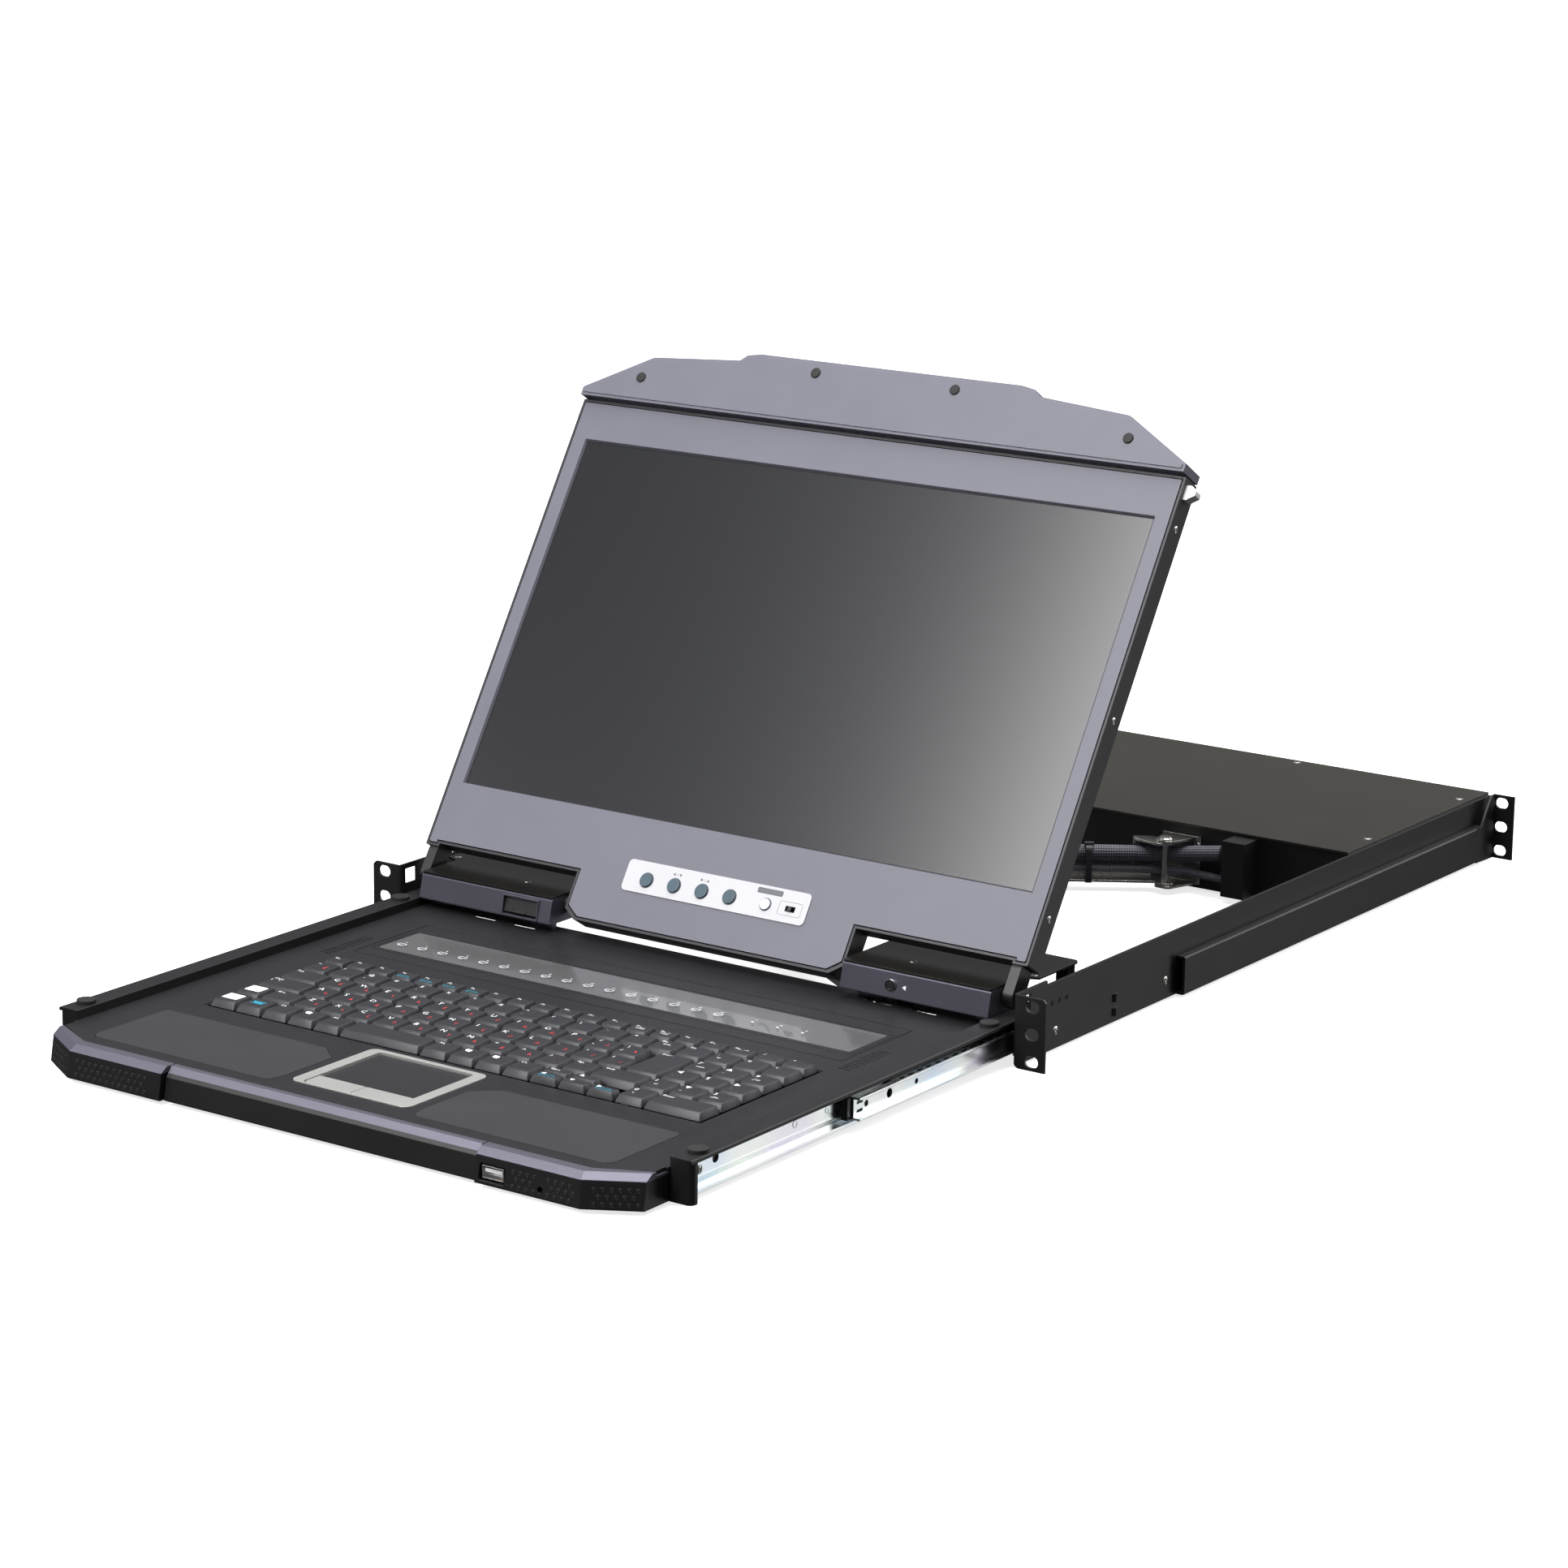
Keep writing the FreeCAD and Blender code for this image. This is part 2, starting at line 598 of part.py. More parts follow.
def rear_lid():
    half = HALF_IN - BOX_FIT
    return box(-half, half, BOX_FRONT_Y - 1.0, CHASSIS_END_Y, BOX_TOP - SHEET, BOX_TOP)


def port_places():
    return [(PORT_X0 + k * PORT_PITCH, z) for z in PORT_ROW_Z for k in range(PORT_COUNT)]


def d_outline(x, z, grow):
    """D-shaped connector outline with cut corners, wider at the top."""
    w = PORT_SIZE[0] / 2 + grow
    h = PORT_SIZE[1] / 2 + grow
    taper = 0.36 * h
    c = 1.2
    right = [(w - taper - c, -h), (w - taper, c - h), (w, h - c), (w - c, h)]
    return [(x + u, z + v) for u, v in right] + [(x - u, z + v) for u, v in reversed(right)]


def rear_panel():
    half = HALF_IN - BOX_FIT - SHEET
    y0 = CHASSIS_END_Y - SHEET
    plate = box(-half, half, y0, CHASSIS_END_Y, PANEL_BOTTOM + SHEET, BOX_TOP - SHEET)
    for x, z in port_places():
        plate = plate.cut(prism(d_outline(x, z, 0.2), "xz", y0 - 1, CHASSIS_END_Y + 1))
    inlet = prism(rect(INLET_X - INLET_SIZE[0] / 2, INLET_X + INLET_SIZE[0] / 2, -INLET_SIZE[1] / 2,
                       INLET_SIZE[1] / 2, 2.0), "xz", y0 - 1, CHASSIS_END_Y + 1)
    rocker = box(ROCKER_X - ROCKER_SIZE[0] / 2, ROCKER_X + ROCKER_SIZE[0] / 2, y0 - 1, CHASSIS_END_Y + 1,
                 -ROCKER_SIZE[1] / 2, ROCKER_SIZE[1] / 2)
    plate = plate.cut(inlet).cut(rocker)
    w = ROCKER_SIZE[0] / 2 + 0.1
    lugs = [box(ROCKER_X + side * w, ROCKER_X + side * (w + 1.8), y0 - 5, y0, -3, 3) for side in (-1, 1)]
    pin = rod((ROCKER_X - w - 3, CHASSIS_END_Y - ROCKER_DEPTH, 0), (1, 0, 0), ROCKER_PIN_R + 0.06, 2 * w + 6)
    return fuse(plate, *lugs).cut(pin)


def rear_sockets():
    """D-sub ports in two rows, and the power inlet with its three pins."""
    y0 = CHASSIS_END_Y - SHEET
    pieces = []
    for x, z in port_places():
        pieces.append(prism(d_outline(x, z, 0), "xz", y0 - 8, CHASSIS_END_Y + 5))
    w, h = INLET_SIZE
    body = prism(rect(INLET_X - w / 2 + 0.2, INLET_X + w / 2 - 0.2, -h / 2 + 0.2, h / 2 - 0.2, 1.8),
                 "xz", y0 - INLET_DEEP, CHASSIS_END_Y)
    b = INLET_RIM
    rim = prism(rect(INLET_X - w / 2 - b, INLET_X + w / 2 + b, -h / 2 - b, h / 2 + b, 2.0),
                "xz", CHASSIS_END_Y, CHASSIS_END_Y + b)
    half_w = w / 2 - INLET_WALL[0]
    half_h = h / 2 - INLET_WALL[1]
    hollow = prism(rect(INLET_X - half_w, INLET_X + half_w, -half_h, half_h, 1.5),
                   "xz", CHASSIS_END_Y - INLET_HOLLOW, CHASSIS_END_Y + b + 1)
    inlet = body.fuse(rim).cut(hollow)
    for x, z in ((-PIN_PITCH, -2.5), (0, 2.5), (PIN_PITCH, -2.5)):
        pin = box(INLET_X + x - 1, INLET_X + x + 1, CHASSIS_END_Y - INLET_HOLLOW - 1, CHASSIS_END_Y - 4,
                  z - 2, z + 2)
        inlet = inlet.fuse(pin)
    pieces.append(inlet)
    return group(*pieces)


def power_rocker():
    """Rocker with its pivot across the middle of its opening."""
    w, h = ROCKER_SIZE
    y = CHASSIS_END_Y
    profile = [(y - 7, -5), (y - 1, -h / 2 + 1.6), (y + 1.0, -h / 2 + 1.6), (y + 0.1, 0),
               (y + 3.4, h / 2 - 1.8), (y - 1, h / 2 - 1.6), (y - 7, 5)]
    body = prism(profile, "yz", ROCKER_X - w / 2 + 0.5, ROCKER_X + w / 2 - 0.5)
    pin = rod((ROCKER_X - w / 2 - 1.2, y - ROCKER_DEPTH, 0), (1, 0, 0), ROCKER_PIN_R, w + 2.4)
    return fuse(body, pin)


def grommet():
    ring = rod((GROMMET_X - 2.2, GROMMET_Y, GROMMET_Z), (1, 0, 0), CABLE_R + 3.2, 2.2)
    sleeve = rod((GROMMET_X - 2.2, GROMMET_Y, GROMMET_Z), (1, 0, 0), CABLE_R + 1.6, 8)
    hole = rod((GROMMET_X - 3, GROMMET_Y, GROMMET_Z), (1, 0, 0), CABLE_R + 0.8, 20)
    return ring.fuse(sleeve).cut(hole).removeSplitter()


# ---- tray -----------------------------------------------------------------------------------
def tray_pan():
    """Sheet pan: floor, side walls and folded rims; its front corners are closed."""
    t = TRAY_SHEET
    profile = [(-RIM_INNER, TRAY_BOTTOM), (RIM_INNER + t, TRAY_BOTTOM), (RIM_INNER + t, RIM_TOP - t),
               (TRAY_HALF - t, RIM_TOP - t), (TRAY_HALF - t, RIM_TOP - 2.2), (TRAY_HALF, RIM_TOP - 2.2),
               (TRAY_HALF, RIM_TOP, 0.8), (RIM_INNER, RIM_TOP, 0.4), (RIM_INNER, TRAY_BOTTOM + t)]
    left = [(-u, *rest) for u, *rest in reversed(profile[1:])]
    pan = prism(profile[1:] + left, "xz", RIM_FRONT_Y, LID_REAR_Y)
    floor_end = box(-RIM_INNER, RIM_INNER, TRAY_REAR_Y, LID_REAR_Y + 1, TRAY_BOTTOM - 1, TRAY_BOTTOM + t)
    pan = pan.cut(floor_end)
    wrap = RIM_FRONT_Y + 5.0
    cheek = prism([(RIM_INNER, RIM_FRONT_Y), (TRAY_HALF, RIM_FRONT_Y, 3.5), (TRAY_HALF, wrap),
                   (TRAY_HALF - t, wrap), (TRAY_HALF - t, RIM_FRONT_Y + t, 2.3),
                   (RIM_INNER, RIM_FRONT_Y + t)],
                  "xy", TRAY_BOTTOM, RIM_TOP - t)
    pan = pan.fuse(cheek).fuse(mirror(cheek))
    for x in (118.0, 148.0):
        hole = box(x, x + 20, TRAY_REAR_Y - 13, TRAY_REAR_Y - 6, TRAY_BOTTOM - 1, TRAY_BOTTOM + 2 * t)
        pan = pan.cut(hole).cut(mirror(hole))
    return pan.removeSplitter()


def well_box(margin):
    return (KEYS_X0 - margin, KEYS_X0 + KEYS_WIDTH + margin,
            KEYS_Y0 - margin, KEYS_Y0 + KEYS_DEPTH + margin)


def deck_cover():
    """Moulded deck with the key well, the touchpad opening, shallow recesses and the vents."""
    z0 = DECK_TOP - DECK_THICK
    half = RIM_INNER
    plate = box(-half, half, GRIP_CORNER_Y + 12, TRAY_REAR_Y, z0, DECK_TOP)
    nose = prism([(-GRIP_HALF + 1, GRIP_CORNER_Y + 13), (GRIP_HALF - 1, GRIP_CORNER_Y + 13),
                  (GRIP_HALF - 1, GRIP_CORNER_Y + 3.7), (GRIP_CORNER_X, GRIP_Y + 6.1),
                  (-GRIP_CORNER_X, GRIP_Y + 6.1), (-GRIP_HALF + 1, GRIP_CORNER_Y + 3.7)], "xy", z0, DECK_TOP)
    deck = plate.fuse(nose)
    x0, x1, y0, y1 = well_box(WELL_MARGIN)
    deck = deck.cut(prism(rect(x0, x1, y0, y1, 2.0), "xy", z0 - 1, DECK_TOP + 1))
    f = PAD_FRAME_HALF
    deck = deck.cut(prism(rect(-f, f, *PAD_FRAME_Y, 5.0), "xy", z0 - 1, DECK_TOP + 1))
    palm = prism(palm_outline(0), "xy", DECK_TOP - PALM_DEPTH, DECK_TOP + 1)
    deck = deck.cut(palm).cut(mirror(palm))
    strip = prism(rect(*STRIP_X, *STRIP_Y, 1.5), "xy", DECK_TOP - STRIP_THICK, DECK_TOP + 1)
    deck = deck.cut(strip)
    step = (VENT_Y[1] - VENT_Y[0]) / VENT_SLOTS
    for k in range(VENT_SLOTS):
        y = VENT_Y[0] + (k + 0.5) * step
        cut = box(VENT_X - 4.2, VENT_X + 4.2, y - VENT_SLOT / 2, y + VENT_SLOT / 2, z0 - 1, DECK_TOP + 1)
        deck = deck.cut(cut).cut(mirror(cut))
    for x in (118.0, 148.0):
        hole = box(x, x + 20, TRAY_REAR_Y - 13, TRAY_REAR_Y - 6, z0 - 1, DECK_TOP + 1)
        deck = deck.cut(hole).cut(mirror(hole))
    return deck.removeSplitter()


def palm_outline(inset):
    x0, x1 = PALM_X
    y0, y1 = PALM_Y
    i = inset
    return [(x0 + 3 + i, y0 + i, 2), (x1 - i, y0 + i, 6), (x1 - i, y1 - i, 3), (x0 + 14 + i, y1 - i, 3),
            (x0 + i, y1 - 12, 3), (x0 + i, y0 + 9, 2)]


def grip_run(front_y, chamfer_drop, x0, x1):
    """Length of the grip's chamfered front, as deep as the widest part of the grip."""
    foot = front_y - GRIP_CHAMFER_DEPTH - GRIP_LEAN
    back = front_y + GRIP_DEEP
    section = [(front_y, DECK_TOP), (front_y - GRIP_CHAMFER_DEPTH, DECK_TOP - chamfer_drop, 0.8),
               (foot, GRIP_BOTTOM, 0.8), (back, GRIP_BOTTOM), (back, DECK_TOP)]
    return prism(section, "yz", x0, x1)


def grip_plan(side, behind):
    """Plan of the grip's back edges, set behind the top edge of its chamfer."""
    return [(-side, GRIP_CORNER_Y + GRIP_DEEP), (-side, GRIP_CORNER_Y + behind * 0.6),
            (-GRIP_CORNER_X, GRIP_Y + behind), (GRIP_CORNER_X, GRIP_Y + behind),
            (side, GRIP_CORNER_Y + behind * 0.6), (side, GRIP_CORNER_Y + GRIP_DEEP)]


def front_grip():
    """Front rail: chamfered along the top, slanted corners, a set-back middle, hollow behind."""
    half = GRIP_HALF
    straight = grip_run(GRIP_Y, GRIP_CHAMFER_DROP, -half, half)
    angle = degrees(atan2(GRIP_CORNER_Y - GRIP_Y, half - GRIP_CORNER_X))
    slant = grip_run(GRIP_Y, GRIP_CHAMFER_DROP, GRIP_CORNER_X - 3 * half, GRIP_CORNER_X + half)
    deepen = box(GRIP_CORNER_X - 3 * half, GRIP_CORNER_X + half, GRIP_Y + GRIP_DEEP, GRIP_Y + 3 * half,
                 GRIP_BOTTOM, DECK_TOP)
    slant = slant.fuse(deepen)
    slant.rotate(V(GRIP_CORNER_X, GRIP_Y, 0), V(0, 0, 1), angle)
    body = straight.common(slant).common(mirror(slant))
    low = TRAY_BOTTOM - 1
    flare = MID_HALF + 2.5
    recess = prism([(-flare, GRIP_Y - 20), (flare, GRIP_Y - 20),
                    (MID_HALF, GRIP_Y + 20), (-MID_HALF, GRIP_Y + 20)],
                   "xy", low, DECK_TOP + 1)
    middle = grip_run(GRIP_Y + MID_SETBACK, MID_CHAMFER_DROP, -MID_HALF, MID_HALF)
    body = body.cut(recess).fuse(middle)
    body = body.cut(prism(grip_plan(half + 1, 6.0), "xy", DECK_TOP - DECK_THICK, DECK_TOP + 1))
    body = body.cut(box(-half - 1, half + 1, RIM_FRONT_Y, 0, low, DECK_TOP + 1))
    body = body.cut(prism(grip_plan(half - 4, 9.0), "xy", GRIP_BOTTOM + 1.8, DECK_TOP - DECK_THICK - 1.8))
    pocket = box(109.6, 129.4, GRIP_Y - 4, GRIP_Y + 14, GRIP_BOTTOM + 1, DECK_TOP - DECK_THICK - 1)
    body = body.fuse(pocket)
    usb = prism(rect(111.2, 127.8, -17.6, -8.6, 1.0), "xz", GRIP_Y - 12, GRIP_Y + 1)
    body = body.cut(usb)
    body = body.cut(rod((150.7, GRIP_Y - 12, -15.0), (0, 1, 0), 1.7, 12))
    return body.removeSplitter()


def usb_socket():
    """Front USB socket: metal shell with its tongue."""
    x0, x1, z0, z1 = 112.4, 126.6, -16.6, -9.6
    y0 = GRIP_Y - 4.6
    shell = box(x0, x1, y0, GRIP_Y + 1, z0, z1)
    shell = shell.cut(box(x0 + 0.6, x1 - 0.6, y0 - 1, GRIP_Y - 0.4, z0 + 0.6, z1 - 0.6))
    tongue = box(x0 + 1.6, x1 - 1.6, y0 + 0.8, GRIP_Y, z1 - 3.4, z1 - 1.6)
    return shell.fuse(tongue)


def audio_jack():
    ring = rod((JACK_X, jack_face_y() - 0.8, JACK_Z), (0, 1, 0), JACK_R, 6)
    return ring.cut(rod((JACK_X, jack_face_y() - 2, JACK_Z), (0, 1, 0), 1.75, 6))


def jack_face_y():
    share = (JACK_Z - HBOX_BOTTOM) / (HBOX_TOP - HBOX_BOTTOM)
    return HBOX_FRONT_TOP_Y - HBOX_FRONT_LEAN * (1 - share)


def palm_pad():
    return prism(palm_outline(0.25), "xy", DECK_TOP - PALM_DEPTH, DECK_TOP + 0.15)


def touchpad_frame():
    f = PAD_FRAME_HALF - 0.2
    y0, y1 = PAD_FRAME_Y
    frame = prism(rect(-f, f, y0 + 0.2, y1 - 0.2, 5.0), "xy", PAD_FLOOR - 0.5, DECK_TOP + 0.5)
    well = prism(rect(-PAD_HALF - 0.8, PAD_HALF + 0.8, PAD_BUTTON_Y[0] - 0.8, PAD_Y[1] + 0.8, 3.0),
                 "xy", PAD_FLOOR, DECK_TOP + 1)
    return frame.cut(well)


def touchpad():
    return prism(rect(-PAD_HALF, PAD_HALF, *PAD_Y, 2.4), "xy", PAD_FLOOR, PAD_FLOOR + 0.8)


def touchpad_button(side):
    """One of the two keys below the pad."""
    x0 = 0.3
    y0, y1 = PAD_BUTTON_Y
    pad = prism([(x0, y0, 0.8), (PAD_HALF, y0, 3.0), (PAD_HALF, y1, 0.8), (x0, y1, 0.8)],
                "xy", PAD_FLOOR + PAD_BUTTON_TRAVEL + 0.05, DECK_TOP + 0.2)
    return pad if side > 0 else mirror(pad)


def status_strip():
    return prism(rect(STRIP_X[0] + 0.2, STRIP_X[1] - 0.2, STRIP_Y[0] + 0.2, STRIP_Y[1] - 0.2, 1.4),
                 "xy", DECK_TOP - STRIP_THICK, DECK_TOP + 0.1)


def key_plate():
    """Pan that fills the key well, with a lip round the keys and guide rails behind their stems."""
    x0, x1, y0, y1 = well_box(WELL_MARGIN - 0.25)
    pan = prism(rect(x0, x1, y0, y1, 1.8), "xy", WELL_FLOOR - 1.2, DECK_TOP - 0.4)
    x0, x1, y0, y1 = well_box(0.9)
    pan = pan.cut(prism(rect(x0, x1, y0, y1, 1.0), "xy", WELL_FLOOR, DECK_TOP))
    legs = [box(x - 4, x + 4, y - 4, y + 4, TRAY_BOTTOM + TRAY_SHEET, WELL_FLOOR - 1.2)
            for x in (-150, 0, 150) for y in (-210, -140)]
    runs = {}
    for row in ROW_WIDTHS:
        for a, b, c, d in key_cells(row):
            spans = runs.setdefault((c + d) / 2, [])
            if spans and abs(spans[-1][1] - a) < 0.1:
                spans[-1][1] = b
            else:
                spans.append([a, b])
    rails = [box(a + 1, b - 1, y + STEM_R + 0.3, y + STEM_R + 1.1, WELL_FLOOR, GUIDE_TOP)
             for y, spans in runs.items() for a, b in spans]
    return pan.fuse(legs + rails).removeSplitter()


def bumpers():
    one = [rod((TRAY_HALF - RIM_WIDTH / 2, y, RIM_TOP), (0, 0, 1), BUMPER_R - 0.6, BUMPER_H)
           for y in (RIM_FRONT_Y + 14.4, TRAY_REAR_Y - 25)]
    return both(Part.makeCompound(one))


# Each row: (left edge, width) of its keys in units, from the left.
ROW_WIDTHS = {
    1: [1, 1, 1, 1, 1, 3, 1, 1, 1, 1],
    2: [1, 1.25, 1, 1, 1, 1, 1, 1, 1, 1, 1, 1, 1, 1.75, 1, 1, 1],
    3: [1.75] + [1] * 12,
    4: [1.5] + [1] * 12,
    5: [1] * 18,
    6: [15 / 17] * 17 + [1, 1, 1],
}


def keycap(x0, x1, y0, y1):
    """Tapered cap with a dished top and a stem under it."""
    g = KEY_GAP / 2
    base = rect(x0 + g, x1 - g, y0 + g, y1 - g)
    top = rect(x0 + g + KEY_DRAFT_X, x1 - g - KEY_DRAFT_X, y0 + g + KEY_DRAFT, y1 - g - KEY_DRAFT * 0.35)
    cap = loft(base, top, "xy", KEY_TOP - KEY_HEIGHT, KEY_TOP)
    cx = (x0 + x1) / 2
    cy = (y0 + y1) / 2
    stem = box(cx - STEM_R, cx + STEM_R, cy - STEM_R, cy + STEM_R,
               WELL_FLOOR + KEY_TRAVEL + 0.3, KEY_TOP - KEY_HEIGHT)
    return cap.fuse(stem)


def key_span(row):
    y0 = KEYS_Y0 + (row - 1) * KEY_ROW
    depth = TOP_ROW_DEPTH if row == 6 else KEY_ROW
    return y0, y0 + depth


def key_cells(row):
    """(x0, x1, y0, y1) of each key of a row."""
    y0, y1 = key_span(row)
    cells = []
    x = 0.0
    for width in ROW_WIDTHS[row]:
        cells.append((x, x + width, y0, y1))
        x += width
    if row == 1:
        mid = (y0 + y1) / 2
        cells += [(x + k, x + k + 1, y0, mid) for k in range(3)]
        cells += [(x + k, x + k + 1, mid, y1) for k in range(2)]
        cells += [(x + 3, x + 4, y0, y1), (x + 4, x + 6, y0, y1)]
    if row == 3:
        cells.append((x, x + 1.25, y0, key_span(4)[1]))
    if row in (3, 4):
        cells += [(15 + k, 16 + k, y0, y1) for k in range(3)]
    return [(KEYS_X0 + a * KEY_U, KEYS_X0 + b * KEY_U, c, d) for a, b, c, d in cells]


def key_row(row):
    return group(*[keycap(*cell) for cell in key_cells(row)])


# ---- hinge boxes ----------------------------------------------------------------------------
def hinge_box():
    """Right hinge box: a leaning front, closed ends with the shaft holes, open below."""
    x0, x1 = HBOX_X
    w = HBOX_WALL
    top = HBOX_TOP - LID_THICK
    lean = HBOX_FRONT_LEAN
    outer = [(HBOX_FRONT_TOP_Y - lean, HBOX_BOTTOM, 1.0), (HBOX_REAR_Y, HBOX_BOTTOM), (HBOX_REAR_Y, top),
             (HBOX_FRONT_TOP_Y, top, 1.5)]
    inner = [(HBOX_FRONT_TOP_Y - lean + w + 0.1, HBOX_BOTTOM - 1), (HBOX_REAR_Y - w, HBOX_BOTTOM - 1),
             (HBOX_REAR_Y - w, top + 1), (HBOX_FRONT_TOP_Y + w + 0.4, top + 1)]
    shell = prism(outer, "yz", x0, x1).cut(prism(inner, "yz", x0 + 3, x1 - 3))
    shaft = rod((x0 - 1, HINGE_Y, HINGE_Z), (1, 0, 0), PIN_R + PIN_FIT, x1 - x0 + 2)
    shell = shell.cut(shaft)
    foot_in = box(x0 + 6, x0 + 6 + FOOT_LENGTH, TRAY_REAR_Y - 5.5, HBOX_REAR_Y - w + 0.2, HBOX_BOTTOM - 0.1,
                  HBOX_BOTTOM + 1.6)
    post = box(x0 + 6, x0 + 6 + FOOT_LENGTH, TRAY_REAR_Y - 5.5, TRAY_REAR_Y - 1, DECK_TOP, HBOX_BOTTOM + 1.0)
    rail = box(x1 - 14, x1 - 2, TRAY_REAR_Y - 5.5, HBOX_REAR_Y, HBOX_BOTTOM - 0.1, HBOX_BOTTOM + 1.6)
    rail_post = box(x1 - 14, x1 - 2, TRAY_REAR_Y - 5.5, TRAY_REAR_Y - 1, DECK_TOP, HBOX_BOTTOM + 1.0)
    return fuse(shell, foot_in, post, rail, rail_post)


def hinge_box_left():
    shell = mirror(hinge_box())
    opening = prism(rect(FLAP_X[0] - 0.9, FLAP_X[1] + 0.9, FLAP_Z[0] - 0.9, FLAP_Z[1] + 0.9), "xz", -4, 8)
    return fuse(shell.cut(opening), flap_frame())


def hinge_box_right():
    shell = hinge_box()
    hole = rod((JACK_X, jack_face_y() - 3, JACK_Z), (0, 1, 0), JACK_R + 0.1, 8)
    return shell.cut(hole)


def lid():
    """Olive top plate over a hinge box; it reaches back over the folded cable arm."""
    x0 = HBOX_X[0]
    z0 = HBOX_TOP - LID_THICK
    return prism([(x0, HBOX_FRONT_TOP_Y, 1.0), (HBOX_X[1], HBOX_FRONT_TOP_Y, 1.0), (HBOX_X[1], 34),
                  (LID_X1, 38), (LID_X1, LID_REAR_Y, 4), (x0, LID_REAR_Y, 2)], "xy", z0, HBOX_TOP)


def lid_posts():
    """Posts from the tray's side walls up to the rear of the lids."""
    post = box(RIM_INNER, LID_X1 - 1, LID_REAR_Y - 12, LID_REAR_Y - 4, RIM_TOP, HBOX_TOP - LID_THICK)
    return post


def flap_axis():
    """(y, z) of the flap's pin: just below the top of its frame, behind the leaning front."""
    z = FLAP_Z[1] - 0.9
    share = (z - HBOX_BOTTOM) / (HBOX_TOP - HBOX_BOTTOM)
    return HBOX_FRONT_TOP_Y - HBOX_FRONT_LEAN * (1 - share) + FLAP_SETBACK, z


def port_flap():
    """Flap over the port in the left hinge box, hinged along its top edge and standing open."""
    x0, x1 = FLAP_X
    y, z = flap_axis()
    half = FLAP_THICK / 2
    leaf = box(x0 + 0.4, x1 - 0.4, y - half, y + half, FLAP_Z[0] + 0.8, z)
    mid = (x0 + x1) / 2
    grip = box(mid - 4, mid + 4, y - half - 0.7, y - half, FLAP_Z[0] + 0.8, FLAP_Z[0] + 1.8)
    pin = rod((x0 - 0.6, y, z), (1, 0, 0), FLAP_PIN_R, x1 - x0 + 1.2)
    leaf = fuse(leaf, grip, pin)
    leaf.rotate(V(0, y, z), V(1, 0, 0), -FLAP_ANGLE)
    return leaf


def flap_frame():
    """Frame of the port, set in the front of the left hinge box."""
    x0, x1 = FLAP_X
    z0, z1 = FLAP_Z
    lean = HBOX_FRONT_LEAN / (HBOX_TOP - HBOX_BOTTOM)
    front = HBOX_FRONT_TOP_Y - (HBOX_TOP - z0) * lean - 0.7
    top_front = HBOX_FRONT_TOP_Y - (HBOX_TOP - z1) * lean - 0.7
    ring = prism([(front, z0 - 0.9), (7.6, z0 - 0.9), (7.6, z1 + 0.9), (top_front, z1 + 0.9)],
                 "yz", x0 - 0.9, x1 + 0.9)
    ring = ring.cut(box(x0, x1, -6, 6.4, z0, z1))
    y, z = flap_axis()
    return ring.cut(rod((x0 - 0.8, y, z), (1, 0, 0), FLAP_PIN_R + 0.06, x1 - x0 + 1.6))


# ---- display, drawn flat: x, s up the panel, off out of its face --------------------------------
def display_outline(inset):
    i = inset
    w = DISPLAY_HALF - i
    top = DISPLAY_LENGTH - i
    cut = CUT_OUT + i
    chin = CHIN_HALF - i
    low = -CHIN_DROP + i
    right = [(chin - CHIN_CHAMFER, low, 1.0), (chin, low + CHIN_CHAMFER * 0.7, 1.0), (chin, cut, 0),
             (CUT_HALF + i, cut, 0), (CUT_HALF + i, i, 0), (w, i, 1.0), (w, top, 0.5)]
    left = [(-u, v, r) for u, v, r in reversed(right)]
    return right + left


def display_back():
    """Back cover: a tray with the cut-outs of the catches and the hinge shafts' seats."""
    shell = prism(display_outline(0), "xy", -DISPLAY_THICK, -0.3)
    shell = shell.cut(prism(display_outline(DISPLAY_WALL), "xy", -DISPLAY_THICK + DISPLAY_WALL, 1))
    s0, s1 = CATCH_S
    o0, o1 = CATCH_OFF
    window = box(DISPLAY_HALF - 4, DISPLAY_HALF + 1, s0 - 0.4, s1 + 0.4, o0 - 0.4, o1 + 0.4)
    shell = shell.cut(window).cut(mirror(window))
    guide = box(DISPLAY_HALF - 22, DISPLAY_HALF - 2, s0 - 2.2, s1 + 2.2, -DISPLAY_THICK + 1, o0 - 0.3)
    shell = shell.fuse(guide).fuse(mirror(guide))
    pin = rod((CHIN_HALF - 6, -HINGE_DROP, -HALF_THICK), (1, 0, 0), PIN_R, 6 + HBOX_X[0] - CHIN_HALF + 2.6)
    lug = box(CHIN_HALF - 8, CHIN_HALF - 1, -HINGE_DROP - 5.5, -HINGE_DROP + 5.5, -DISPLAY_THICK + 1, -2.4)
    shell = shell.fuse(lug).fuse(mirror(lug)).fuse(pin).fuse(mirror(pin))
    for k in range(9):
        x = -64 + 16 * k
        vent = box(x - 5.5, x + 5.5, VENT_S, VENT_S + 3, -DISPLAY_THICK - 1, -DISPLAY_THICK + 3)
        shell = shell.cut(vent)
    return shell.removeSplitter()


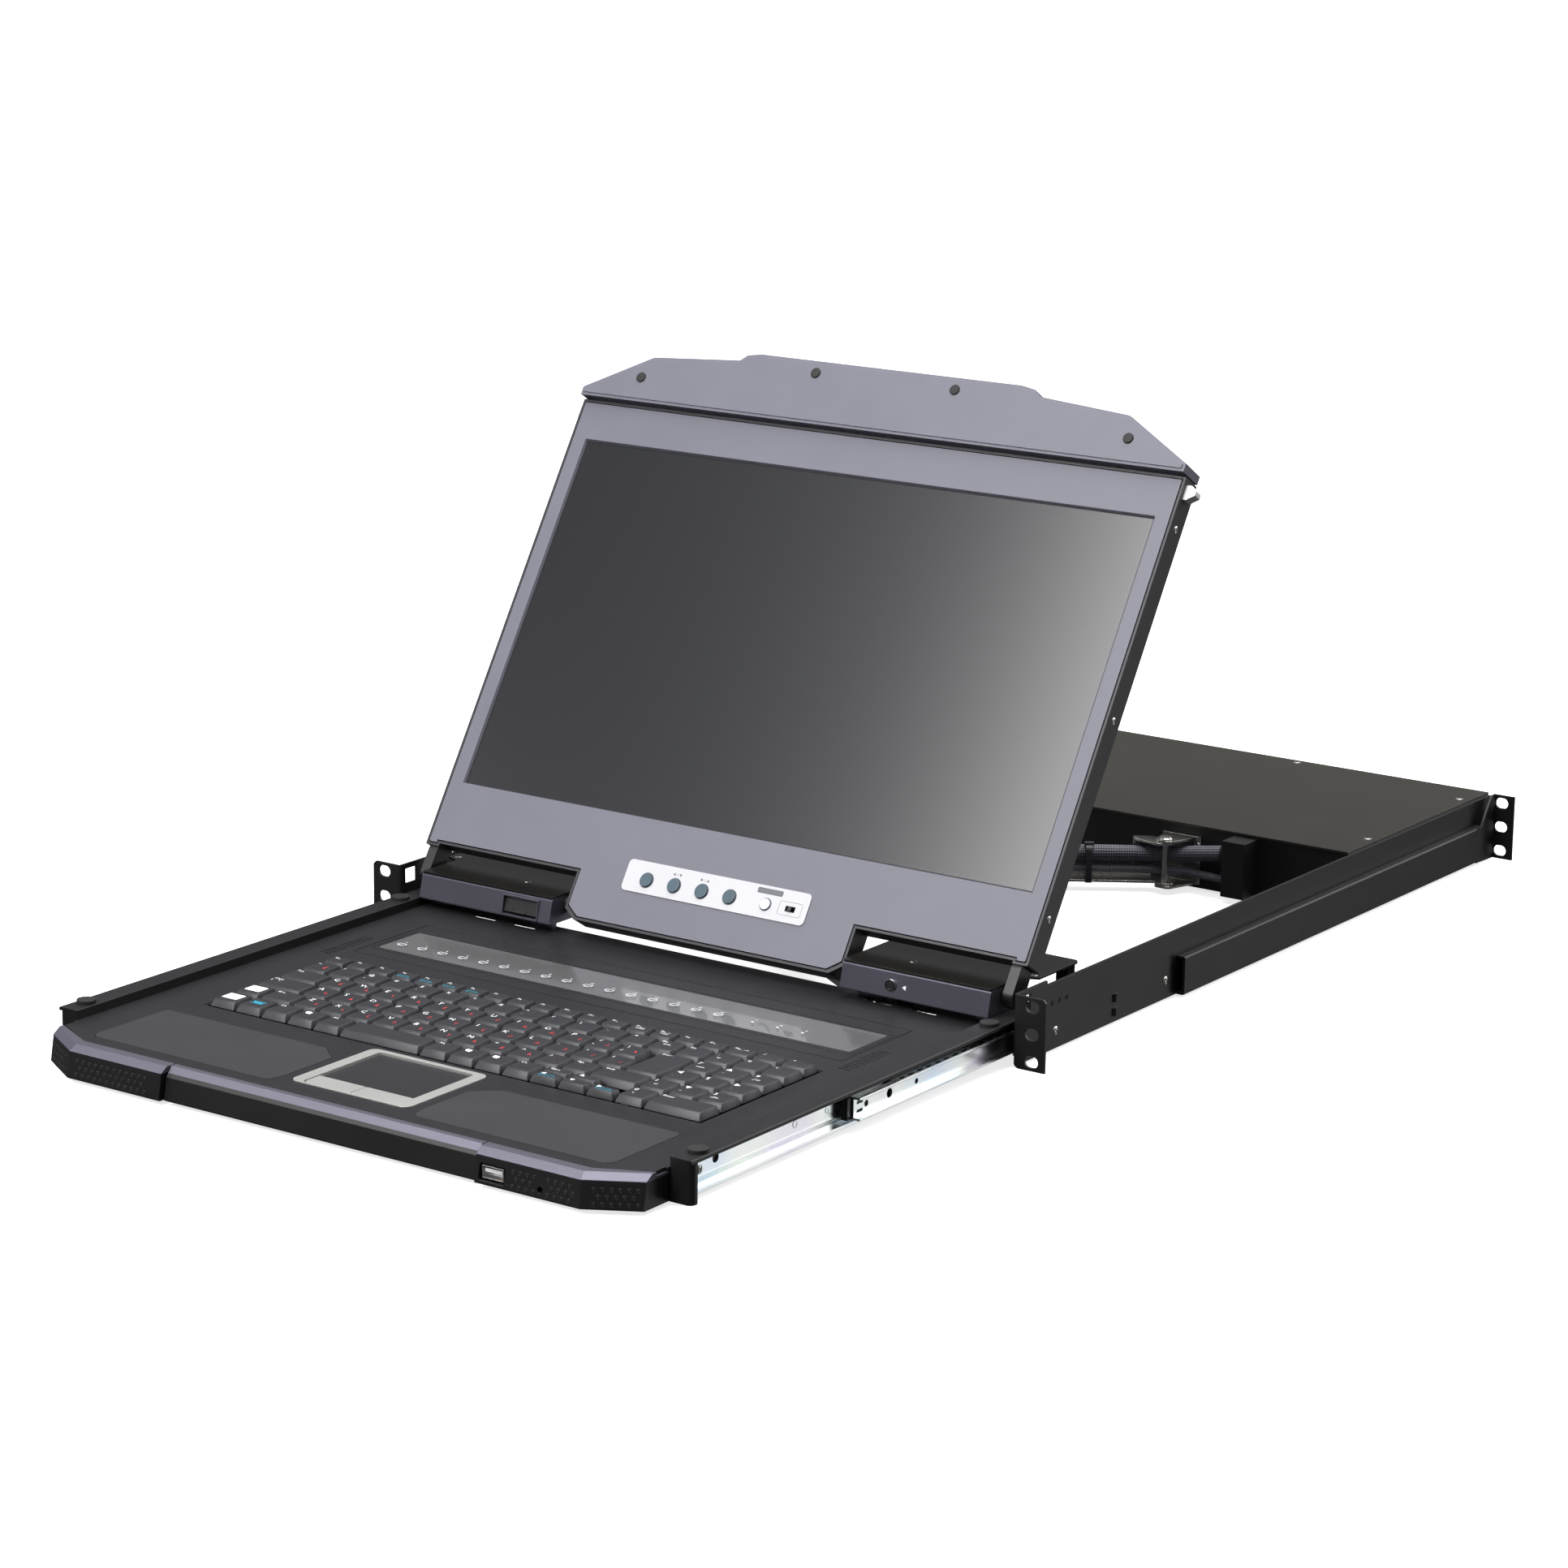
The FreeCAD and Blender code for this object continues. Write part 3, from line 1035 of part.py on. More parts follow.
def display_bezel():
    """Front plate with the screen opening and the holes of the buttons."""
    inset = DISPLAY_WALL + BEZEL_GAP
    plate = prism(display_outline(inset), "xy", -BEZEL_THICK, 0)
    hole = loft(rect(-SCREEN_HALF, SCREEN_HALF, *SCREEN_S),
                rect(-SCREEN_HALF - 0.9, SCREEN_HALF + 0.9, SCREEN_S[0] - 0.9, SCREEN_S[1] + 0.9),
                "xy", -BEZEL_THICK, 0)
    plate = plate.cut(hole)
    for x in MENU_X:
        plate = plate.cut(rod((x, BUTTON_S, -5), (0, 0, 1), MENU_R + BUTTON_FIT, 9))
    plate = plate.cut(rod((POWER_X, BUTTON_S, -5), (0, 0, 1), POWER_R + BUTTON_FIT, 9))
    return plate.cut(switch_window(-5, 4))


def switch_window(o0, o1):
    reach = 1.4 + SWITCH_TRAVEL
    return box(SWITCH_X - reach, SWITCH_X + reach, BUTTON_S - 1.7, BUTTON_S + 1.7, o0, o1)


def lcd_panel():
    """Screen module behind the bezel, carried on the back cover by its mounting blocks."""
    m = LCD_MARGIN
    top = -BEZEL_THICK
    module = box(-SCREEN_HALF - m, SCREEN_HALF + m, SCREEN_S[0] - m, SCREEN_S[1] + m, top - LCD_THICK, top)
    blocks = [box(x - 10, x + 10, s - 6, s + 6, -DISPLAY_THICK + DISPLAY_WALL, top - LCD_THICK)
              for x in (-SCREEN_HALF + 24, SCREEN_HALF - 24) for s in (SCREEN_S[0] + 18, SCREEN_S[1] - 21)]
    return fuse(module, *blocks)


def visor_outline(inset):
    """Outline of the pull edge, set in by inset: straight ends, a rounded shoulder, a raised middle."""
    i = inset
    w = DISPLAY_HALF - i
    s0 = DISPLAY_LENGTH + VISOR_GAP
    right = [(w, s0 + i), (w, s0 + 5.3 - i * 0.5), (DISPLAY_HALF - VISOR_CORNER, s0 + VISOR_SHOULDER - i, 8),
             (VISOR_MID + 14.5, s0 + VISOR_SHOULDER + 4.8 - i),
             (VISOR_MID + 10, s0 + VISOR_SHOULDER + 8.8 - i),
             (VISOR_MID, s0 + VISOR_SHOULDER + 10.4 - i)]
    return right + [(-p[0], *p[1:]) for p in reversed(right)]


def visor():
    """Pull edge above the display: a rim with an inset face plate, joined to the back cover."""
    body = prism(visor_outline(0), "xy", -DISPLAY_THICK, VISOR_PROUD - 0.7)
    face = prism(visor_outline(VISOR_RIM), "xy", VISOR_PROUD - 0.8, VISOR_PROUD)
    tongue = box(-DISPLAY_HALF + 6, DISPLAY_HALF - 6, DISPLAY_LENGTH, DISPLAY_LENGTH + VISOR_GAP + 0.5,
                 -DISPLAY_THICK, -2.4)
    return fuse(body, face, tongue)


def button_plate():
    plate = prism(rect(-PLATE_HALF, PLATE_HALF, *PLATE_S, 3.0), "xy", 0, PLATE_THICK)
    for x in MENU_X:
        plate = plate.cut(rod((x, BUTTON_S, -5), (0, 0, 1), MENU_R + BUTTON_FIT, 9))
    plate = plate.cut(rod((POWER_X, BUTTON_S, -5), (0, 0, 1), POWER_R + BUTTON_FIT, 9))
    return plate.cut(switch_window(-5, 4))


def round_button(x, radius):
    """Push button with a flange behind the bezel."""
    top = PLATE_THICK + BUTTON_PROUD
    under = -BEZEL_THICK - 0.15
    stem = rod((x, BUTTON_S, under - 1), (0, 0, 1), radius, top - under + 1)
    flange = rod((x, BUTTON_S, under - 1.2), (0, 0, 1), radius + FLANGE_R, 1.2)
    return fuse(stem, flange)


def mode_switch():
    under = -BEZEL_THICK - 0.15
    knob = box(SWITCH_X - 1.2, SWITCH_X + 1.2, BUTTON_S - 1.4, BUTTON_S + 1.4, under - 1, PLATE_THICK + 0.9)
    slider = box(SWITCH_X - 2.6, SWITCH_X + 2.6, BUTTON_S - 2.6, BUTTON_S + 2.6, under - 1.2, under)
    return fuse(knob, slider)


def catch():
    """Right spring catch: a tapered tongue through the side of the back cover."""
    s0, s1 = CATCH_S
    root = CATCH_TIP - CATCH_LENGTH
    return prism([(root, s0), (DISPLAY_HALF + 2.0, s0), (CATCH_TIP, s0 + 3.4, 0.8),
                  (CATCH_TIP, s1 - 2.6, 1.4),
                  (DISPLAY_HALF + 3.4, s1), (root, s1)], "xy", *CATCH_OFF)


def hinge_arm():
    """Right outer arm from the display's corner down to the hinge shaft."""
    x0 = HBOX_X[1] + ARM_GAP + 1.0
    x1 = x0 + ARM_THICK
    r = ARM_R
    s_axis = -HINGE_DROP
    arm = prism([(s_axis - r * 0.2, -HALF_THICK - r + 1.6, 5), (0.8 + DISPLAY_WALL, -DISPLAY_THICK + 2.2),
                 (0.8 + DISPLAY_WALL, -2.0), (-2.0, -0.4), (s_axis - r * 0.4, -HALF_THICK + r - 1.2, 5),
                 (s_axis - r, -HALF_THICK, 3)], "yz", x0, x1)
    seat = box(x0, x1, -0.2, DISPLAY_WALL, -DISPLAY_THICK + 2.0, -2.0)
    pin = rod((HBOX_X[1] - 2.6, s_axis, -HALF_THICK), (1, 0, 0), PIN_R, x0 - HBOX_X[1] + 3.6)
    return arm.cut(box(x0 - 1, x1 + 1, 0, 10, -DISPLAY_THICK, 0)).fuse(pin).removeSplitter()


# ---- cable arm ------------------------------------------------------------------------------
LINK_DIR = V(-cos(LINK_ANGLE), -sin(LINK_ANGLE), 0)
LINK_SIDE = V(-sin(LINK_ANGLE), cos(LINK_ANGLE), 0)
WALL_PIVOT = V(ARM_X, WALL_PIVOT_Y, 0)
ELBOW = WALL_PIVOT + LINK_DIR * LINK_LENGTH
TRAY_PIVOT = V(ARM_X, TRAY_PIVOT_Y, 0)


def on_link(shape, wall_side):
    """Places a piece drawn along +X from its pivot, with +Y on the outer side of the arm."""
    placed = shape.copy()
    if wall_side:
        angle = 180 + degrees(LINK_ANGLE)
        placed = placed.mirror(V(0, 0, 0), V(0, 1, 0))
        placed.rotate(V(0, 0, 0), V(0, 0, 1), angle)
        placed.translate(WALL_PIVOT)
    else:
        placed = placed.mirror(V(0, 0, 0), V(0, 1, 0))
        placed.rotate(V(0, 0, 0), V(0, 0, 1), -degrees(LINK_ANGLE))
        placed.translate(ELBOW)
    return placed


def link(wall_side):
    """Flat strip with an upturned outer edge and a round lug at each end."""
    level = LINK_FLOOR_Z if wall_side else LINK_FLOOR_Z + LINK_SHEET + 0.3
    z0 = level
    z1 = level + LINK_SHEET
    strip = prism([(-2, 0.6), (LINK_LENGTH + 2, 0.6), (LINK_LENGTH - 6, LINK_WIDTH + 0.6, 3),
                   (6, LINK_WIDTH + 0.6, 3)], "xy", z0, z1)
    lip = box(12, LINK_LENGTH - 12, LINK_WIDTH - 0.5, LINK_WIDTH + 0.6, z0, z1 + 3.5)
    lugs = [rod((x, 0, z0), (0, 0, 1), LUG_R, LINK_SHEET) for x in (0, LINK_LENGTH)]
    body = fuse(strip, lip, *lugs)
    if wall_side:
        post = box(8, 20, LINK_WIDTH - 0.5, LINK_WIDTH + 0.6, z0, 11.4)
        top = prism([(-LUG_R + 1, -4, 3), (6, -5.5, 3), (20, LINK_WIDTH - 4, 2), (20, LINK_WIDTH + 0.6),
                     (8, LINK_WIDTH + 0.6), (-LUG_R + 1, 4, 3)], "xy", 9.9, 11.4)
        body = fuse(body, post, top)
        bores = [(0, True), (LINK_LENGTH, False)]
    else:
        bores = [(0, True)]
    for x, _ in bores:
        body = body.cut(rod((x, 0, z0 - 1), (0, 0, 1), PIVOT_R + 0.05, 40))
    if wall_side:
        elbow_pin = rod((LINK_LENGTH, 0, z0), (0, 0, 1), PIVOT_R, 2 * LINK_SHEET + 1.6)
        head = rod((LINK_LENGTH, 0, z0 + 2 * LINK_SHEET + 0.9), (0, 0, 1), PIVOT_R + 1.6, 1.2)
        body = fuse(body, elbow_pin, head)
    else:
        tray_pin = rod((LINK_LENGTH, 0, z0 - 4.5), (0, 0, 1), PIVOT_R, 7)
        body = fuse(body, tray_pin)
    return on_link(body, wall_side)


def link_cables(wall_side):
    """Two braided cables along a link."""
    a, b = 32.0, LINK_LENGTH - 30.0
    thick = tube([(a, CABLE_OFFSET, CABLE_Z), (b, CABLE_OFFSET, CABLE_Z)], CABLE_R)
    thin = tube([(a, CABLE_OFFSET - 1.0, THIN_Z), (b, CABLE_OFFSET - 1.0, THIN_Z)], THIN_R)
    return on_link(group(thick, thin), wall_side)


def cable_ties():
    """Bands round both cables and the link."""
    bands = []
    for wall_side in (True, False):
        floor = LINK_FLOOR_Z if wall_side else LINK_FLOOR_Z + LINK_SHEET + 0.3
        for x in (46.0, 140.0, 240.0):
            outer = rect(-0.4, LINK_WIDTH + 2.0, floor - 1.3, CABLE_Z + CABLE_R + 1.3)
            inner = rect(0.4, LINK_WIDTH + 1.0, floor - 0.3, CABLE_Z + CABLE_R + 0.3)
            band = prism(outer, "yz", x, x + TIE_WIDTH).cut(prism(inner, "yz", x - 1, x + TIE_WIDTH + 1))
            bands.append(on_link(band, wall_side))
    return bands


def elbow_loop():
    """Slack of both cables round the elbow."""
    pieces = []
    for y, z, r in ((CABLE_OFFSET, CABLE_Z, CABLE_R), (CABLE_OFFSET - 1.0, THIN_Z, THIN_R)):
        start = WALL_PIVOT + LINK_DIR * (LINK_LENGTH - 29.7) + LINK_SIDE * y
        mirrored = V(-sin(LINK_ANGLE), -cos(LINK_ANGLE), 0)
        along = V(cos(LINK_ANGLE), -sin(LINK_ANGLE), 0)
        end = ELBOW + along * 31.7 + mirrored * y
        corner = ELBOW + V(-y / sin(LINK_ANGLE), 0, 0)
        pieces.append(tube([(start.x, start.y, z), (corner.x, corner.y, z), (end.x, end.y, z)], r))
    return group(*pieces)


def wall_loop():
    """Slack of both cables between the wall-side link and the cable entry."""
    pieces = []
    for offset, z, z_end, r in ((CABLE_OFFSET, CABLE_Z, GROMMET_Z, CABLE_R),
                                (CABLE_OFFSET - 1.0, THIN_Z, THIN_Z - 1.0, THIN_R)):
        start = WALL_PIVOT + LINK_DIR * 31.7 + LINK_SIDE * offset
        corner = start - LINK_DIR * ((GROMMET_Y - start.y) / sin(LINK_ANGLE))
        pieces.append(tube([(start.x, start.y, z), (corner.x, corner.y, z),
                            (GROMMET_X - 0.3, GROMMET_Y, z_end)],
                           r, 0.22))
    return group(*pieces)


def tray_loop():
    """Slack of both cables between the tray-side link and the gap under the deck."""
    pieces = []
    along = V(cos(LINK_ANGLE), -sin(LINK_ANGLE), 0)
    outer = V(-sin(LINK_ANGLE), -cos(LINK_ANGLE), 0)
    for offset, z, turn_z, z_end, r, turn_y, x_end in (
            (CABLE_OFFSET, CABLE_Z, -1.0, -9.3, CABLE_R, TRAY_PIVOT_Y - 6, ARM_X + 12),
            (CABLE_OFFSET - 1.0, THIN_Z, THIN_Z, -11.8, THIN_R, TRAY_PIVOT_Y - 10, ARM_X + 24)):
        start = ELBOW + along * (LINK_LENGTH - 29.3) + outer * offset
        corner = start + along * ((start.y - turn_y) / sin(LINK_ANGLE))
        pieces.append(tube([(start.x, start.y, z), (corner.x, corner.y, turn_z),
                            (x_end, TRAY_REAR_Y - 1.5, z_end)], r, 0.4))
    return group(*pieces)


def wall_bracket():
    """Fork on the front wall of the rear box that carries the arm's pivot pin."""
    x, y = ARM_X, WALL_PIVOT_Y
    plate = box(x - 12, x + 16, BOX_FRONT_Y - 1.6, BOX_FRONT_Y, -17.9, 13.2)
    low = prism([(x - 5, y - 5.5, 4), (x + 6, y - 5.5, 4), (x + 14, BOX_FRONT_Y), (x - 10, BOX_FRONT_Y)],
                "xy", LINK_FLOOR_Z - 1.7, LINK_FLOOR_Z - 0.2)
    top = prism([(x - 5, y - 5.5, 4), (x + 6, y - 5.5, 4), (x + 14, BOX_FRONT_Y), (x - 10, BOX_FRONT_Y)],
                "xy", 11.6, 13.1)
    pin = rod((x, y, LINK_FLOOR_Z - 1.7), (0, 0, 1), PIVOT_R, 13.1 - LINK_FLOOR_Z + 1.7)
    head = rod((x, y, 13.1), (0, 0, 1), 3.6, 1.6)
    return fuse(plate, low, top, pin, head)


def tray_bracket():
    """Bracket behind the right hinge box whose slot takes the arm's last pin."""
    x, y = ARM_X, TRAY_PIVOT_Y
    z1 = LINK_FLOOR_Z + LINK_SHEET + 0.3 - 0.3
    z0 = z1 - 1.8
    plate = box(x - 8, HBOX_X[0] + 30, TRAY_REAR_Y - 2, y + 12, z0, z1)
    r = PIVOT_R + 0.6
    groove = prism(rect(x - r, x + r, y - SLACK - r, y + 2.0 + r, r - 0.001), "xy", z0 - 1, z1 + 1)
    plate = plate.cut(groove)
    wall = box(HBOX_X[0] + 16, HBOX_X[0] + 30, HBOX_REAR_Y, HBOX_REAR_Y + 1.6, z0, HBOX_BOTTOM + 12)
    return fuse(plate, wall)


# ---- nodes ----------------------------------------------------------------------------------
node("chassis_side_right", chassis_side())
node("chassis_side_left", mirror(chassis_side()))
node("rear_bracket_right", rear_bracket())
node("rear_bracket_left", mirror(rear_bracket()))
node("slide_outers", both(slide_outer()))
node("slide_middles", both(slide_middle()))
node("slide_inners", both(slide_inner()))
node("ball_cages", both(ball_cage(CAGE_FRONT_Y)))
node("ball_cages_outer", both(outer_cage()))
node("slide_stops", both(slide_stop()))
node("rear_box_base", fuse(rear_box(), rear_panel()))
node("rear_box_lid", rear_lid())
node("rear_sockets", rear_sockets())
node("power_rocker", power_rocker())
node("cable_grommet", grommet())
node("tray_pan", tray_pan())
node("deck_cover", deck_cover())
node("front_grip", front_grip())
node("tray_sockets", group(usb_socket(), audio_jack()))
node("palm_pads", both(palm_pad()))
node("touchpad_frame", touchpad_frame())
node("touchpad", touchpad())
node("touchpad_button_left", touchpad_button(-1))
node("touchpad_button_right", touchpad_button(1))
node("status_strip", status_strip())
node("key_plate", key_plate())
node("tray_bumpers", bumpers())
for number in ROW_WIDTHS:
    node("keys_row_%d" % number, key_row(number))
node("hinge_box_left", hinge_box_left())
node("hinge_box_right", hinge_box_right())
node("hinge_box_lids", both(fuse(lid(), lid_posts())))
node("port_flap", port_flap())
node("display_back", on_panel(display_back()))
node("display_bezel", on_panel(display_bezel()))
node("lcd_panel", on_panel(lcd_panel()))
node("visor", on_panel(visor()))
node("button_plate", on_panel(button_plate()))
for number, place in enumerate(MENU_X, 1):
    node("menu_button_%d" % number, on_panel(round_button(place, MENU_R)))
node("display_power_button", on_panel(round_button(POWER_X, POWER_R)))
node("mode_switch", on_panel(mode_switch()))
node("catch_right", on_panel(catch()))
node("catch_left", on_panel(mirror(catch())))
node("hinge_arms", on_panel(both(hinge_arm())))
node("arm_link_wall", link(True))
node("arm_link_tray", link(False))
ties = cable_ties()
node("arm_cables_wall", group(link_cables(True), *ties[:3]))
node("arm_cables_tray", group(link_cables(False), *ties[3:]))
node("cable_loop_elbow", elbow_loop())
node("cable_loop_wall", wall_loop())
node("cable_loop_tray", tray_loop())
node("arm_wall_bracket", wall_bracket())
node("arm_tray_bracket", tray_bracket())

total = 0
for name, shape in NODES.items():
    if not shape.isValid():
        print("NOT VALID", name)
    shape.exportStep("parts/%s.step" % name)
    total += len(shape.Solids)
print(len(NODES), "nodes,", total, "solids")
print("elbow", ELBOW.x, ELBOW.y, "link angle", degrees(LINK_ANGLE), "flap axis", flap_axis())
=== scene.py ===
"""Looks of the rackmount LCD console drawer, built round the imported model.

Forms are drawn in millimetres, in the part's frame or flat on the raised display, and scaled to
metres when they become objects.
"""
from collections import namedtuple
from math import cos, pi, radians, sin

import bmesh
import bpy
from mathutils import Matrix, Vector


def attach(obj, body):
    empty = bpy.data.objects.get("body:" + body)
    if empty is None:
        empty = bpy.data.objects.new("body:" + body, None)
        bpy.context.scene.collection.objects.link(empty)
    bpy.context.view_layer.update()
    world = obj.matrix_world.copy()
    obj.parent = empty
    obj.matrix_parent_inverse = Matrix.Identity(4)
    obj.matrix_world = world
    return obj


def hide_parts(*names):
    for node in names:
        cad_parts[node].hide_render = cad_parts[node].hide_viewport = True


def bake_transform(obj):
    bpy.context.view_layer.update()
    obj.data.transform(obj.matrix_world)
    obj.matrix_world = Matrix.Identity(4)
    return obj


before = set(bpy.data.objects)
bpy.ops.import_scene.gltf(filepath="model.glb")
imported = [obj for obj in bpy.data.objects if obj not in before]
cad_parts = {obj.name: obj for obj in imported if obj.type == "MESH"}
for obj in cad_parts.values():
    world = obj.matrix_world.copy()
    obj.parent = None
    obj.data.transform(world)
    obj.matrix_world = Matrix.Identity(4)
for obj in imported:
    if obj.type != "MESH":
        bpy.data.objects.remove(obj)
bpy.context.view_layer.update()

MM = 0.001
X_AXIS = Vector((1, 0, 0))
UP = Vector((0, 0, 1))

# ---- shared with the CAD model, in millimetres -------
HALF_OUT = 221.8          # outer face of a chassis side
DECK_TOP = -1.3
BOX_TOP = 20.5
REAR_FACE_Y = 577.0
HBOX_TOP = 20.2
HBOX_FRONT_TOP_Y = 2.3
HBOX_LEAN = 3.6 / 16.5
GRIP_Y = -327.0

HINGE_Y = 17.0
HINGE_Z = 13.9
TILT = radians(31.84)
HINGE_DROP = 16.5
DISPLAY_HALF = 216.4
DISPLAY_THICK = 14.5
SCREEN_HALF = 203.9
SCREEN_S = (42.5, 271.4)

KEY_U = 19.0
KEY_ROW = 18.9
TOP_ROW_DEPTH = 13.4
KEYS_X0 = -167.2
KEYS_Y0 = -229.6
KEY_GAP = 1.0
KEY_TOP = 2.6
KEY_HEIGHT = 4.4
KEY_DRAFT_X = 1.5
KEY_DRAFT_FRONT = 2.6
KEY_DRAFT_BACK = 0.9
DISH = 0.25

WALL_PIVOT = Vector((100.0, 368.0, 0.0))
ELBOW = Vector((-141.203, 207.0, 0.0))
TRAY_PIVOT = Vector((100.0, 46.0, 0.0))
LINK_LENGTH = 290.0
GROMMET = Vector((139.7, 377.6, 8.1))

PANEL_UP = Vector((0, sin(TILT), cos(TILT)))
PANEL_OUT = Vector((0, -cos(TILT), sin(TILT)))
PANEL_ORIGIN = Vector((0, HINGE_Y, HINGE_Z)) + PANEL_UP * HINGE_DROP + PANEL_OUT * DISPLAY_THICK / 2
PANEL = Matrix.Translation(PANEL_ORIGIN) @ Matrix((X_AXIS, PANEL_UP, PANEL_OUT)).transposed().to_4x4()


# ---- materials ---------------------------------------
def srgb(r, g, b):
    """Linear colour of an 8-bit sRGB one."""
    channels = [c / 255 for c in (r, g, b)]
    return [c / 12.92 if c <= 0.04045 else ((c + 0.055) / 1.055) ** 2.4 for c in channels]


def shade(tree, kind, mode=None, **sockets):
    """Adds a shader node with its operation and some of its inputs set."""
    made = tree.nodes.new("ShaderNode" + kind)
    if kind == "Mix":
        made.data_type = "RGBA"
    if mode:
        made.operation = mode
    for socket, value in sockets.items():
        made.inputs[socket.replace("_", " ")].default_value = value
    return made


def material(name, colour, rough, metal=0.0, vary=0.10, patch=25.0, grain=0.00002,
             grain_size=2200.0, edge=0.0004, edge_wear_and_highlight=0.25, gloss_drift=0.05, **shader):
    """Procedural finish: drifting colour and gloss, a fine grain, and rounded edges with wear and a
    painted highlight.

    patch and grain_size are cycles per metre, grain and edge are metres; shader sets sockets directly.
    """
    m = bpy.data.materials.new(name)
    m.use_nodes = True
    tree = m.node_tree
    links = tree.links
    bsdf = tree.nodes["Principled BSDF"]

    coords = shade(tree, "TexCoord")
    drift = shade(tree, "TexNoise", Scale=patch, Detail=4.0)
    links.new(coords.outputs["Object"], drift.inputs["Vector"])
    dull = [c * (1 - vary) for c in colour]
    bright = [min(1, c * (1 + vary)) for c in colour]
    tone = shade(tree, "Mix", A=[*dull, 1], B=[*bright, 1])
    links.new(drift.outputs["Fac"], tone.inputs["Factor"])
    low, high = max(0.02, rough - gloss_drift), min(1.0, rough + gloss_drift)
    gloss = shade(tree, "MapRange", To_Min=low, To_Max=high)
    links.new(drift.outputs["Fac"], gloss.inputs["Value"])
    links.new(gloss.outputs["Result"], bsdf.inputs["Roughness"])

    round_edge = shade(tree, "Bevel", Radius=edge)
    round_edge.samples = 4
    face = shade(tree, "NewGeometry")
    turn = shade(tree, "VectorMath", "DOT_PRODUCT")
    links.new(round_edge.outputs["Normal"], turn.inputs[0])
    links.new(face.outputs["Normal"], turn.inputs[1])
    # the rounded edges take a lighter colour: partly wear, partly a painted highlight
    wear_and_highlight = shade(tree, "MapRange", From_Min=0.98, From_Max=0.80, To_Max=edge_wear_and_highlight)
    links.new(turn.outputs["Value"], wear_and_highlight.inputs["Value"])
    rubbed_and_highlit = [min(1, c * 2.2 + 0.03) for c in colour]
    rub_and_highlight = shade(tree, "Mix", B=[*rubbed_and_highlit, 1])
    links.new(wear_and_highlight.outputs["Result"], rub_and_highlight.inputs["Factor"])
    links.new(tone.outputs["Result"], rub_and_highlight.inputs["A"])
    links.new(rub_and_highlight.outputs["Result"], bsdf.inputs["Base Color"])

    fine = shade(tree, "TexNoise", Scale=grain_size, Detail=2.0)
    links.new(coords.outputs["Object"], fine.inputs["Vector"])
    bump = shade(tree, "Bump", Distance=grain)
    links.new(fine.outputs["Fac"], bump.inputs["Height"])
    links.new(round_edge.outputs["Normal"], bump.inputs["Normal"])
    links.new(bump.outputs["Normal"], bsdf.inputs["Normal"])

    bsdf.inputs["Metallic"].default_value = metal
    for socket, value in shader.items():
        bsdf.inputs[socket.replace("_", " ")].default_value = value
    return m


def braid(name, dark, light, turns, pitch):
    """Woven cable sleeve: two sets of threads that cross round the tube, from the tube's UV map.

    turns is how many threads lie round the tube, pitch the millimetres between crossings along it.
    """
    m = material(name, dark, 0.55, vary=0.2)
    tree = m.node_tree
    links = tree.links
    bsdf = tree.nodes["Principled BSDF"]
    uv = shade(tree, "TexCoord")
    waves = []
    for side in (1, -1):
        lean = shade(tree, "VectorMath", "DOT_PRODUCT")
        lean.inputs[1].default_value = (2 * pi * turns, side * 2 * pi / pitch, 0)
        links.new(uv.outputs["UV"], lean.inputs[0])
        wave = shade(tree, "Math", "SINE")
        links.new(lean.outputs["Value"], wave.inputs[0])
        waves.append(wave)
    over = shade(tree, "Math", "MULTIPLY")
    links.new(waves[0].outputs[0], over.inputs[0])
    links.new(waves[1].outputs[0], over.inputs[1])
    thread = shade(tree, "MapRange", From_Min=-1.0)
    links.new(over.outputs[0], thread.inputs["Value"])
    mix = shade(tree, "Mix", A=[*dark, 1], B=[*light, 1])
    links.new(thread.outputs["Result"], mix.inputs["Factor"])
    links.new(mix.outputs["Result"], bsdf.inputs["Base Color"])
    bump = shade(tree, "Bump", Distance=0.0004)
    links.new(thread.outputs["Result"], bump.inputs["Height"])
    links.new(bump.outputs["Normal"], bsdf.inputs["Normal"])
    return m


ZINC_TINTS = ((0.30, (208, 222, 236)), (0.52, (234, 238, 234)), (0.72, (226, 220, 234)))


def zinc(name, rough):
    """Zinc plating: bright steel whose passivation drifts between blue, white and lilac."""
    m = material(name, srgb(*ZINC_TINTS[1][1]), rough, metal=1.0, vary=0.06, patch=9.0, grain=0.000008,
                 edge_wear_and_highlight=0.1)
    tree = m.node_tree
    links = tree.links
    coords = shade(tree, "TexCoord")
    drift = shade(tree, "TexNoise", Scale=16.0, Detail=1.0)
    links.new(coords.outputs["Object"], drift.inputs["Vector"])
    tint = shade(tree, "ValToRGB")
    stops = tint.color_ramp.elements
    stops.new(0.5)
    for stop, (position, colour) in zip(stops, ZINC_TINTS):
        stop.position = position
        stop.color = [*srgb(*colour), 1]
    links.new(drift.outputs["Fac"], tint.inputs["Fac"])
    links.new(tint.outputs["Color"], tree.nodes["Principled BSDF"].inputs["Base Color"])
    return m


GRIP_SHEEN_Z = -0.0048     # metres: above this the grip's chamfer takes a pale colour, a painted sheen over its dark paint
CHAMFER_METAL = 0.6


